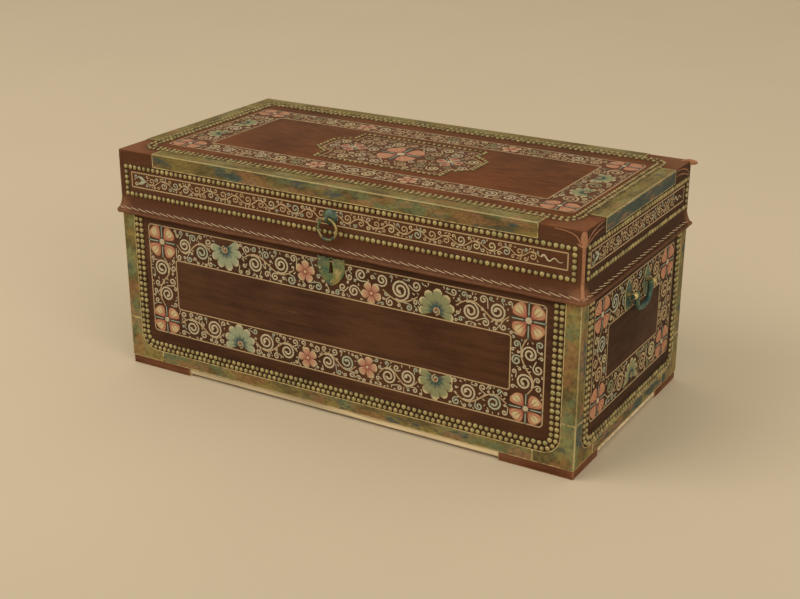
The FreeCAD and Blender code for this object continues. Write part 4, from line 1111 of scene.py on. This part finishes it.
class CHEST_OT_skirt(ChestOperator):
    """Makes the lid's flared skirt, its stitches, and the folds at its corners"""

    bl_idname = "chest.skirt"
    bl_label = "Lid skirt"

    front_steps = 150
    end_steps = 75
    corner_steps = 10
    flare_steps = 9
    hem_steps = 14
    wobble = 0.0007
    wobble_length = 0.055
    stitch_top, stitch_foot = math.radians(24.2), math.radians(29.8)
    stitch_steps = 5
    # Drop from the lid's top and radius of the pouch at a corner and of the ridge under it
    pouch = ((0.001, 0.0026), (0.005, 0.0044), (0.012, 0.0054), (0.018, 0.0050), (0.0225, 0.0041),
             (0.028, 0.0033), (0.034, 0.0028), (0.046, 0.0026), (0.060, 0.0026), (0.074, 0.0027))
    # The ridge down the flare: its radius at the top, what it gains to the hem, and its tip past the hem
    ridge_steps = 7
    ridge_radius, ridge_swell = 0.0027, 0.0011
    ridge_tip = (0.001, -0.005, 0.0030)
    # Reach along the faces from the corner, drop from the lid's top and radius of the collar under a pouch
    collar = ((0.012, 0.0215, 0.0007), (0.008, 0.0240, 0.0016), (0.003, 0.0252, 0.0021))
    collar_sink, collar_drop = 0.0004, 0.0256
    # Reach along a face from the corner and drop from the lid's top of the creases there
    front_creases = (((0.050, 0.0030), (0.034, 0.0040), (0.021, 0.0065), (0.013, 0.0110), (0.009, 0.0170),
                      (0.007, 0.0225)),)
    end_creases = (((0.072, 0.003), (0.046, 0.005), (0.027, 0.009), (0.016, 0.014), (0.008, 0.020)),
                   ((0.073, 0.012), (0.050, 0.013), (0.032, 0.016), (0.020, 0.020), (0.009, 0.0235)))
    # Reach out from the corner, height over the lid's top and radius of the folded ear
    ear_fold = ((-0.020, -0.0030, 0.0032), (-0.010, -0.0024, 0.0046), (-0.003, -0.0030, 0.0052),
                (0.0046, -0.0042, 0.0044), (0.00805, -0.0050, 0.0036), (0.01058, -0.0044, 0.0031),
                (0.0115, -0.0036, 0.0016))

    def make(self):
        tint = colours()
        hide = lid_leather("skirt_hide", tint.leather_warm, tint.lid_deep, LEVEL)
        self.skirt(hide)
        self.stitches()
        self.corners()

    def stations(self):
        """Places along the wood's face on the left end, the front and the right end, with outward angles."""
        line = []
        corners = (-WOOD_X, math.pi), (WOOD_X, 1.5 * math.pi)
        for step in range(self.end_steps):
            line.append((Vector((-WOOD_X, WOOD_Y - 2 * WOOD_Y * step / self.end_steps, 0)), math.pi))
        for index, (x, start) in enumerate(corners):
            for step in range(self.corner_steps + 1):
                line.append((Vector((x, -WOOD_Y, 0)), start + math.pi / 2 * step / self.corner_steps))
            if index == 0:
                for step in range(1, self.front_steps):
                    line.append((Vector((-WOOD_X + 2 * WOOD_X * step / self.front_steps, -WOOD_Y, 0)),
                                 1.5 * math.pi))
        for step in range(1, self.end_steps + 1):
            line.append((Vector((WOOD_X, -WOOD_Y + 2 * WOOD_Y * step / self.end_steps, 0)), 2 * math.pi))
        return line

    def flare(self, angle, radius):
        """Out from the wood and height of a point on the flare, at an angle down it."""
        own = sizes()
        return own.flare_radius - radius * math.cos(angle), RIM + own.flare_rise - radius * math.sin(angle)

    def section(self):
        """The skirt's cut edge as (out, height): down its face, round its rolled hem and up its back."""
        own = sizes()
        outer, inner = own.flare_radius - own.skirt_thick, own.flare_radius
        entry = math.asin(own.skirt_thick / 2 / own.hem_radius)
        last = own.flare_angle - own.hem_radius / own.flare_radius
        angles = [last * step / self.flare_steps for step in range(self.flare_steps + 1)]
        points = [(own.skirt_thick, LID_DECK), (own.skirt_thick, (LID_DECK + RIM) / 2)]
        points += [self.flare(angle, outer) for angle in angles]
        middle = self.flare(own.flare_angle, (outer + inner) / 2)
        start = math.pi / 2 + own.flare_angle
        for step in range(self.hem_steps + 1):
            turn = start - entry - (math.tau - 2 * entry) * step / self.hem_steps
            points.append((middle[0] + own.hem_radius * math.cos(turn),
                           middle[1] + own.hem_radius * math.sin(turn)))
        points += [self.flare(angle, inner) for angle in reversed(angles)]
        points += [(0, (LID_DECK + RIM) / 2), (0, LID_DECK)]
        return points

    def skirt(self, hide):
        own = sizes()
        section = self.section()
        spots, faces = [], []
        walked = 0
        line = self.stations()
        for index, (base, angle) in enumerate(line):
            walked += (base - line[index - 1][0]).length if index else 0
            way = heading(angle).to_3d()
            sway = noise.noise(Vector((walked / self.wobble_length, 0, 3))) + 1
            drop = noise.noise(Vector((walked / self.wobble_length, 7, 0)))
            for out, height in section:
                slack = max(0, (RIM + own.flare_rise - height) / own.flare_radius) ** 2 * 4
                spot = base + way * (out + sway * self.wobble * slack)
                spots.append((spot.x, spot.y, height + drop * self.wobble * slack))
        count = len(section)
        for start in range(0, len(spots) - count, count):
            for step in range(count):
                after = (step + 1) % count
                faces.append((start + step, start + after, start + count + after, start + count + step))
        faces.append(tuple(range(count))[::-1])
        faces.append(tuple(range(len(spots) - count, len(spots))))
        mesh = bpy.data.meshes.new("skirt_hide")
        mesh.from_pydata(spots, [], faces)
        piece = add("skirt_hide", mesh)
        mesh.materials.append(hide)
        with editing(piece):
            bpy.ops.mesh.remove_doubles(threshold=1e-6)
            bpy.ops.mesh.normals_make_consistent(inside=False)
        bpy.ops.object.shade_smooth_by_angle(angle=math.radians(50))
        dress(piece, "lid", "lid_leather", "lid_skirt")

    def stitches(self):
        """Slanted whip stitches over the hem's seam, one after the other round the three sides."""
        own = sizes()
        outer = own.flare_radius - own.skirt_thick
        line = self.stations()
        seam = self.flare(self.stitch_foot, outer)[0]
        walked = [0.0]
        for (base, angle), (ahead, turn) in zip(line, line[1:]):
            walked.append(walked[-1] + (ahead - base).length + seam * (turn - angle))
        places = np.array([(base.x, base.y, angle) for base, angle in line])
        runs = []
        for index in range(int(walked[-1] / own.stitch_pitch)):
            points, radii = [], []
            for step in range(self.stitch_steps + 1):
                part = step / self.stitch_steps
                mark = own.stitch_pitch * index + own.stitch_length * part
                x, y, angle = (np.interp(mark, walked, column) for column in places.T)
                arch = math.sin(math.pi * part)
                slope = self.stitch_top + (self.stitch_foot - self.stitch_top) * part
                reach, height = self.flare(slope, outer)
                reach += own.stitch_radius * (1.2 * arch - 0.2)
                points.append((x + reach * math.cos(angle), y + reach * math.sin(angle), height))
                radii.append(own.stitch_radius * (0.7 + 0.3 * arch))
            runs.append((points, radii, 0, False))
        dress(tubes("skirt_stitches", runs, [thread("flax_thread")]), "lid", "lid_leather")

    def corners(self):
        """A ridge down each front corner of the lid, a collar and creases at the right one, and the creases
        and the folded ear behind it."""
        runs = self.ear(1, 1) + self.creases(1, 1)
        for x, finish in ((-1, 1), (1, 0)):
            runs += self.ridge(x, -1, finish)
        runs += self.creases(1, -1) + self.band(1, -1, 0)
        finishes = [worn_leather("worn_hide"), bpy.data.materials["skirt_hide"]]
        dress(tubes("lid_corner_folds", runs, finishes, 3, "MINIMUM"), "lid", "lid_leather")

    def ridge(self, x, y, finish):
        """The gathered leather down a corner: a pouch under the lid's top, and a ridge from it to the hem."""
        own = sizes()
        outer = own.flare_radius - own.skirt_thick
        way = Vector((x, y, 0)).normalized()
        base = Vector((x * WOOD_X, y * WOOD_Y, 0))
        profile = [(own.skirt_thick, LID_TOP - drop, radius) for drop, radius in self.pouch]
        for step in range(1, self.ridge_steps + 1):
            part = step / self.ridge_steps
            out, height = self.flare(own.flare_angle * part, outer)
            profile.append((out, height, self.ridge_radius + self.ridge_swell * part))
        past, drop, tip = self.ridge_tip
        profile.append((out + past, height + drop, tip))
        points = [base + way * (out + own.ridge_proud - radius) + UPRIGHT * height
                  for out, height, radius in profile]
        radii = [radius * (1 + 0.08 * noise.noise(point * 60))
                 for point, (_, _, radius) in zip(points, profile)]
        return [(points, radii, finish, False)]

    def band(self, x, y, finish):
        """The collar that gathers a corner's leather under its pouch."""
        corner = Vector((x * HALF_X, y * HALF_Y, LID_TOP))
        half = [(corner - Vector((x * reach, 0, drop)), radius) for reach, drop, radius in self.collar]
        middle = corner - Vector((x * self.collar_sink, y * self.collar_sink, self.collar_drop))
        half.append((middle, self.collar[-1][2]))
        half += [(corner - Vector((0, y * reach, drop)), radius)
                 for reach, drop, radius in reversed(self.collar)]
        return [([point for point, _ in half], [radius for _, radius in half], finish, False)]

    def creases(self, x, y):
        """Folds in the leather of both faces that sweep into a corner from along its top."""
        corner = Vector((x * HALF_X, y * HALF_Y, LID_TOP))
        runs = []
        for side, folds in ((Vector((-x, 0, 0)), self.front_creases), (Vector((0, -y, 0)), self.end_creases)):
            for fold in folds:
                points = [corner + side * reach - UPRIGHT * drop for reach, drop in fold]
                share = [index / (len(fold) - 1) for index in range(len(fold))]
                radii = [sizes().crease_radius * (0.25 + math.sin(math.pi * (0.1 + 0.7 * part)))
                         for part in share]
                runs.append((points, radii, 0, False))
        return runs

    def ear(self, x, y):
        """The pinched end of a folded corner that stands out from the lid."""
        corner = Vector((x * HALF_X, y * HALF_Y, LID_TOP))
        way = Vector((x, y, 0)).normalized()
        return [([corner + way * out + UPRIGHT * rise for out, rise, _ in self.ear_fold],
                 [radius for _, _, radius in self.ear_fold], 0, False)]


class CHEST_OT_brass(ChestOperator):
    """Binds the body and the lid with old brass"""

    bl_idname = "chest.brass"
    bl_label = "Brass binding"

    # The run of a finish's blooms, their blue on upright faces and on the lid's top, and their rust
    blooms = {
        "brass_upright": ((0.5, 0.5, 0.45), 0.05, 0, 0.3),
        "brass_long": ((0.35, 1, 1), 0.2, 0, 0.5),
        "brass_short": ((1, 0.35, 1), 0.2, 0, 0.3),
        "brass_dark": ((1, 0.35, 1), 0.85, 0.1, 0.15),
    }
    sheets = {
        "chest": {"corner_angles": "brass_upright", "bottom_corner_caps": "brass_upright",
                  "front_bottom_strip": "brass_long", "back_bottom_strip": "brass_long",
                  "left_bottom_strip": "brass_short", "right_bottom_strip": "brass_short"},
        "lid": {"lid_front_strip": "brass_long", "lid_back_strip": "brass_long",
                "lid_left_strip": "brass_dark", "lid_right_strip": "brass_dark",
                "lid_corner_cap": "brass_long"},
    }

    def make(self):
        own = sizes()
        for body, nodes in self.sheets.items():
            for node, name in nodes.items():
                finish = brass(name, *self.blooms[name])
                piece = eased(f"{node}_brass", node, own.edge_ease, finish, brass_edge("brass_edge"),
                              rim=own.brass_rim)
                dress(piece, body, "old_brass", node)


class CHEST_OT_tacks(ChestOperator):
    """Sets the domed tacks where the frame has them"""

    bl_idname = "chest.tacks"
    bl_label = "Tacks"

    head_segments, head_rings = 12, 8
    most_tilt, most_spin = 0.09, 0.5
    # The body that a node's heads ride on, the axis and sign of the sides they stand on, and their scale
    rows = {
        "front_tacks": ("chest", ((1, -1),), 1),
        "back_tacks": ("chest", ((1, 1),), 1),
        "left_end_tacks": ("chest", ((0, -1),), 1),
        "right_end_tacks": ("chest", ((0, 1),), 1),
        "lid_top_tacks": ("lid", ((2, 1),), 0.78),
        "lid_front_tacks": ("lid", ((1, -1),), 1),
        "lid_back_tacks": ("lid", ((1, 1),), 1),
        "lid_end_tacks": ("lid", ((0, -1), (0, 1)), 1),
    }

    def make(self):
        finish = tack_brass("tack_heads")
        pattern = self.pattern()
        chance = random.Random(11)
        for node, (body, sides, scale) in self.rows.items():
            piece = self.row(f"{node}_heads", node, pattern, sides, scale, finish, chance)
            dress(piece, body, "tack_brass", node)

    def pattern(self):
        """One head, modelled once: a ball cut across, closed below and pressed to a dome."""
        own = sizes()
        bpy.ops.object.select_all(action="DESELECT")
        bpy.ops.mesh.primitive_uv_sphere_add(radius=1, segments=self.head_segments,
                                             ring_count=self.head_rings)
        ball = bpy.context.object
        with editing(ball):
            bpy.ops.mesh.bisect(plane_co=(0, 0, 0), plane_no=(0, 0, 1), clear_inner=True, use_fill=True)
            bpy.ops.mesh.select_all(action="SELECT")
            bpy.ops.transform.resize(value=(own.tack_radius, own.tack_radius, own.tack_dome),
                                     center_override=(0, 0, 0))
        mesh = ball.data
        spots = np.array([vertex.co for vertex in mesh.vertices])
        faces = [tuple(face.vertices) for face in mesh.polygons]
        bpy.data.objects.remove(ball)
        return spots, faces

    def seats(self, node, axis, sign):
        """The tops of a node's heads on one side: its highest points, each clear of those found before it."""
        mesh = NODES[node].data
        spots = np.empty(len(mesh.vertices) * 3)
        mesh.vertices.foreach_get("co", spots)
        spots = spots.reshape(-1, 3)
        heights = spots[:, axis] * sign
        reach = heights.max() - sizes().tack_dome
        spots = np.unique(spots[heights > reach].round(4), axis=0)
        spots = spots[np.argsort(-spots[:, axis] * sign, kind="stable")]
        gap = sizes().tack_gap
        others = [index for index in range(3) if index != axis]
        grid, found = {}, []
        for spot in spots:
            u, v = spot[others]
            cell = (int(u // gap), int(v // gap))
            near = [other for x in (-1, 0, 1) for y in (-1, 0, 1)
                    for other in grid.get((cell[0] + x, cell[1] + y), ())]
            if all((u - other[0]) ** 2 + (v - other[1]) ** 2 > gap ** 2 for other in near):
                grid.setdefault(cell, []).append((u, v))
                found.append(Vector(spot))
        return found

    def row(self, name, node, pattern, sides, scale, finish, chance):
        """Copies of the pattern on every seat of a node, each a little turned, tilted and toned by itself."""
        shape, pattern_faces = pattern
        spots, faces, tones, crowns = [], [], [], []
        for axis, sign in sides:
            normal = Vector((0, 0, 0))
            normal[axis] = sign
            base = UPRIGHT.rotation_difference(normal).to_matrix()
            for seat in self.seats(node, axis, sign):
                lean = Matrix.Rotation(chance.uniform(-self.most_tilt, self.most_tilt), 3, "X")
                lean = lean @ Matrix.Rotation(chance.uniform(-self.most_tilt, self.most_tilt), 3, "Y")
                spin = Matrix.Rotation(chance.uniform(0, self.most_spin), 3, "Z")
                turn = np.array(base @ lean @ spin) * scale
                first = len(spots)
                spots.extend(shape @ turn.T + np.array(seat - normal * sizes().tack_dome))
                faces.extend(tuple(first + corner for corner in face) for face in pattern_faces)
                tones.extend([chance.random()] * len(shape))
                crowns.extend(shape[:, 2] / sizes().tack_dome)
        mesh = bpy.data.meshes.new(name)
        mesh.from_pydata(spots, [], faces)
        mesh.materials.append(finish)
        mesh.attributes.new("own", "FLOAT", "POINT").data.foreach_set("value", tones)
        mesh.attributes.new("crown", "FLOAT", "POINT").data.foreach_set("value", crowns)
        piece = add(name, mesh)
        choose(piece)
        bpy.ops.object.shade_smooth_by_angle(angle=math.radians(60))
        return piece


class CHEST_OT_front_paint(ChestOperator):
    """Paints the flowered border on the chest's front"""

    bl_idname = "chest.front_paint"
    bl_label = "Front painting"

    fans = ((-219, 255, -1.35, "leaf"), (201, 247, 1.5, "moss"), (-198, 101, 1.6, "leaf"),
            (200, 108, -1.6, "moss"))
    rounds = ((-53, 256, 0.3), (78, 243, 0.9), (-52, 98, 0.6), (69, 108, 0.1))
    fan_reach, round_reach = 33, 20
    # Where each stem starts and ends along the upper and the lower band
    upper_stems = (-330, -254, -186, -76, 100, 166, 236, 330)
    lower_stems = (-330, -232, -164, -74, -30, 46, 92, 166, 234, 330)
    # Circles kept clear for the lock's shield
    shield_middles, shield_radii = ((0, 275), (0, 252)), (29, 14)

    def make(self):
        drawing = Drawing(4)
        low, high = (-393, 78), (393, 284)
        inner_low, inner_high = (-334, 130), (334, 224)
        border(drawing, low, high, inner_low, inner_high)
        for x, z, turn, tint in self.fans:
            drawing.fan_flower(Vector((x, z)), self.fan_reach, turn, tint)
        for x, z, turn in self.rounds:
            drawing.round_flower(Vector((x, z)), self.round_reach, turn)
        drawing.claim(self.shield_middles, self.shield_radii)
        stems(drawing, 254, self.upper_stems, rise=14, pitch=48)
        stems(drawing, 104, self.lower_stems, rise=12.5, pitch=46)
        for x in (-363.5, 363.5):
            stems(drawing, x, (128, 226), rise=13, pitch=46, upright=True)
        drawing.scatter(low, high, inner_low, inner_high, 1600)
        piece = drawing.lay("front_painting", Vector((0, -HALF_Y, 0)), Vector((1, 0, 0)), UPRIGHT)
        dress(piece, "chest", "dark_leather")


class CHEST_OT_end_paint(ChestOperator):
    """Paints the flowered border on the chest's two ends"""

    bl_idname = "chest.end_paint"
    bl_label = "End painting"

    tints = ("cream", "cream", "straw", "cream", "sage", "olive")

    def make(self):
        low, high = (-170, 78), (170, 281.5)
        inner_low, inner_high = (-112, 132), (112, 225)
        for name, sign in (("left", -1), ("right", 1)):
            drawing = Drawing(20 + sign)
            drawing.tints = self.tints
            border(drawing, low, high, inner_low, inner_high, "ember")
            drawing.fan_flower(Vector((0, 103)), 27, math.pi / 2, "moss")
            stems(drawing, 253, (-112, 112), rise=13, pitch=45)
            stems(drawing, 104, (-112, -30, 30, 112), rise=12.5, pitch=42)
            for x in (-141, 141):
                stems(drawing, x, (130, 227), rise=13, pitch=46, upright=True)
            drawing.scatter(low, high, inner_low, inner_high, 900)
            across = Vector((0, sign, 0))
            piece = drawing.lay(f"{name}_end_painting", Vector((sign * HALF_X, 0, 0)), across, UPRIGHT)
            dress(piece, "chest", "dark_leather")


class CHEST_OT_lid_paint(ChestOperator):
    """Paints the lid: the border and cartouche on its top, and the long panels on its sides"""

    bl_idname = "chest.lid_paint"
    bl_label = "Lid painting"

    top_tints = ("straw", "cream", "cream", "scroll", "olive")
    rounds = ((-151, 130), (151, 130), (-91, -130), (91, -130))
    # Where each stem starts and ends along the back, the front and the two end bands of the top
    back_stems = (-332, -171, -131, 131, 171, 332)
    front_stems = (-332, -111, -71, 71, 111, 332)
    end_stems = (-106, -72, -20, 16, 68, 106)
    # A quarter of the cartouche's outline, and a circle kept clear outside its notch
    cartouche_quarter = ((148, 24), (131, 36), (117, 43), (117, 76))
    notch, notch_room = (138, 62), 26
    cartouche_curls, cartouche_commas = (13.5, 11, 9, 7.4), (3.2,)
    side_tints = ("straw", "cream", "cream", "scroll", "cream", "sage")
    panel_low, panel_high = 348, 375
    # What the vine leaves at a side panel's ends for the zigzag and the leaves
    panel_end = 46

    def make(self):
        self.top()
        self.side("front", 424, Vector((0, -HALF_Y, 0)), Vector((1, 0, 0)), 31)
        self.side("right", 199, Vector((HALF_X, 0, 0)), Vector((0, 1, 0)), 32)
        self.side("left", 199, Vector((-HALF_X, 0, 0)), Vector((0, -1, 0)), 33)

    def top(self):
        drawing = Drawing(7, 0.85)
        drawing.tints = self.top_tints
        low, high = (-397, -152), (397, 152)
        inner_low, inner_high = (-333, -108), (333, 108)
        border(drawing, low, high, inner_low, inner_high, "ember")
        for bottom, top in ((low[1], inner_low[1]), (inner_high[1], high[1])):
            drawing.ground([(low[0], high[0], bottom), (low[0], high[0], top)])
        for left, right in ((low[0], inner_low[0]), (inner_high[0], high[0])):
            drawing.ground([(left, right, inner_low[1]), (left, right, inner_high[1])])
        for x in (-365, 365):
            for y in (-46, 42):
                drawing.fan_flower(Vector((x, y)), 25, 0 if y > 0 else math.pi, "moss")
        for x, y in self.rounds:
            drawing.round_flower(Vector((x, y)), 19, 0.4 + x)
        stems(drawing, 130, self.back_stems, rise=10.5, pitch=40)
        stems(drawing, -130, self.front_stems, rise=10.5, pitch=40)
        for x in (-365, 365):
            stems(drawing, x, self.end_stems, rise=12, pitch=36, upright=True)
        drawing.scatter(low, high, inner_low, inner_high, 1600)
        self.cartouche(drawing)
        piece = drawing.lay("lid_top_painting", Vector((0, 0, LID_TOP)), Vector((1, 0, 0)), Vector((0, 1, 0)))
        dress(piece, "lid", "lid_leather")

    def cartouche(self, drawing):
        """A great square flower between two small ones, with scrolls about them and a line round them all."""
        quarter = self.cartouche_quarter
        ring = list(quarter) + [(-x, y) for x, y in reversed(quarter)]
        ring += [(-x, -y) for x, y in quarter] + [(x, -y) for x, y in reversed(quarter)]
        drawing.stroke(ring, drawing.line, "cream", closed=True)
        drawing.ground([(-x, x, -y) for x, y in reversed(quarter)] + [(-x, x, y) for x, y in quarter])
        drawing.square_flower(Vector((0, 0)), (41, 41), "ember")
        for across in (-1, 1):
            drawing.square_flower(Vector((across * 98, 0)), (23, 23), "rose", math.pi / 4)
        for across in (-1, 1):
            for up in (-1, 1):
                drawing.claim([(across * self.notch[0], up * self.notch[1])], [self.notch_room])
        drawing.curl_radii, drawing.comma_radii = self.cartouche_curls, self.cartouche_commas
        drawing.scatter((-147, -74), (147, 74), (0, 0), (0, 0), 900)

    def side(self, name, half, origin, across, seed):
        drawing = Drawing(seed, 0.78)
        drawing.tints = self.side_tints
        drawing.panel((-half, self.panel_low), (half, self.panel_high), 1.5)
        middle = (self.panel_low + self.panel_high) / 2
        end = half - self.panel_end
        drawing.zigzag((end + 2, middle), (half - 8, middle - 2), 4.5, 4)
        for angle in (-0.4, 0.4):
            drawing.leaf(Vector((-end - 14, middle)), math.pi + angle, 20, "sage")
        drawing.claim([(-end - 24, middle)], [9])
        low, high = (-half + 4, self.panel_low + 1), (end, self.panel_high - 1)
        stems(drawing, middle, (-end - 14, end), rise=6.2, pitch=26)
        drawing.scatter(low, high, (0, 0), (0, 0), 1600, 6.5)
        piece = drawing.lay(f"lid_{name}_painting", origin, across, UPRIGHT)
        dress(piece, "lid", "lid_leather")


class CHEST_OT_lock(ChestOperator):
    """Finishes the lock: its shield, its pins, its case and the catch on the lid"""

    bl_idname = "chest.lock"
    bl_label = "Lock"

    def make(self):
        tint = colours()
        shield = eased("escutcheon_plate", "escutcheon", sizes().edge_ease / 2, shield_brass("shield_brass"))
        dress(shield, "chest", "green_bronze", "escutcheon")
        cover(brass_edge("brass_edge"), "escutcheon_pins")
        iron = plain_metal("lock_iron", tint.steel, dimmed(tint.steel, 0.4))
        cover(iron, "lock_case", "lock_spring", "lock_bolt", "lock_screws", "catch_screws")
        cover(plain_metal("lock_brass", tint.brass_gold, tint.brass_olive), "lock_cover", "lid_catch")


class CHEST_OT_hinges(ChestOperator):
    """Finishes the two hinges and their screws"""

    bl_idname = "chest.hinges"
    bl_label = "Hinges"

    def make(self):
        tint = colours()
        leaf = plain_metal("hinge_leaf", tint.brass_gold, tint.brass_olive)
        cover(leaf, "lower_hinge_leaves", "upper_hinge_leaves", "hinge_pins")
        cover(plain_metal("screw_brass", tint.brass_pale, tint.brass_olive), "lower_hinge_screws",
              "upper_hinge_screws")


class CHEST_OT_handles(ChestOperator):
    """Finishes the drop handles on the two ends"""

    bl_idname = "chest.handles"
    bl_label = "Handles"

    rubbed = 0.05

    def make(self):
        ease = sizes().edge_ease
        patina = bronze("handle_bronze", self.rubbed, colours().bronze)
        gold = plain_metal("post_brass", colours().brass_pale, colours().brass_gold)
        posts = eased("handle_posts_turned", "handle_posts", ease, gold)
        dress(posts, "chest", "hinge_brass", "handle_posts")
        plates = eased("handle_plates_cast", "handle_plates", ease, patina, brass_edge("brass_edge"),
                       rim=sizes().brass_rim)
        dress(plates, "chest", "green_bronze", "handle_plates")
        for node in ("left_bail", "right_bail"):
            dress(eased(f"{node}_cast", node, ease, patina), node, "green_bronze", node)
        cover(plain_metal("nut_iron", colours().steel, colours().tack_dark), "handle_nuts")


class CHEST_OT_ring(ChestOperator):
    """Finishes the ring pull on the lid's front"""

    bl_idname = "chest.ring"
    bl_label = "Ring pull"

    boss_rubbed, ring_rubbed = 0.25, 0.8

    def make(self):
        ease = sizes().edge_ease
        patina = bronze("boss_bronze", self.boss_rubbed, colours().teal)
        boss = eased("ring_boss_cast", "ring_boss", ease, patina, brass_edge("brass_edge"))
        dress(boss, "lid", "green_bronze", "ring_boss")
        ring = eased("ring_cast", "ring", ease, bronze("ring_bronze", self.ring_rubbed, colours().teal))
        dress(ring, "ring", "green_bronze", "ring")


class CHEST_PT_pieces(bpy.types.Panel):
    """Lists the chest's groups of pieces"""

    bl_label = "Chest"
    bl_idname = "CHEST_PT_pieces"
    bl_space_type = "VIEW_3D"
    bl_region_type = "UI"
    bl_category = "Chest"

    def draw(self, context):
        for operator in OPERATORS:
            self.layout.operator(operator.bl_idname)
        for group in (context.scene.chest_sizes, context.scene.chest_colours, context.scene.chest_stage):
            for name in group.__annotations__:
                self.layout.prop(group, name)


GROUPS = {"chest_sizes": ChestSizes, "chest_colours": ChestColours, "chest_stage": ChestStage}
OPERATORS = (CHEST_OT_stage, CHEST_OT_boards, CHEST_OT_leather, CHEST_OT_skirt, CHEST_OT_brass,
             CHEST_OT_tacks, CHEST_OT_front_paint, CHEST_OT_end_paint, CHEST_OT_lid_paint, CHEST_OT_lock,
             CHEST_OT_hinges, CHEST_OT_handles, CHEST_OT_ring)


def register():
    for kind in (*GROUPS.values(), *OPERATORS, CHEST_PT_pieces):
        bpy.utils.register_class(kind)
    for name, group in GROUPS.items():
        setattr(bpy.types.Scene, name, bpy.props.PointerProperty(type=group))


def unregister():
    for name in GROUPS:
        delattr(bpy.types.Scene, name)
    for kind in (CHEST_PT_pieces, *reversed(OPERATORS), *GROUPS.values()):
        bpy.utils.unregister_class(kind)


def main():
    register()
    for operator in OPERATORS:
        group, name = operator.bl_idname.split(".")
        getattr(getattr(bpy.ops, group), name)()


if __name__ == "__main__":
    main()
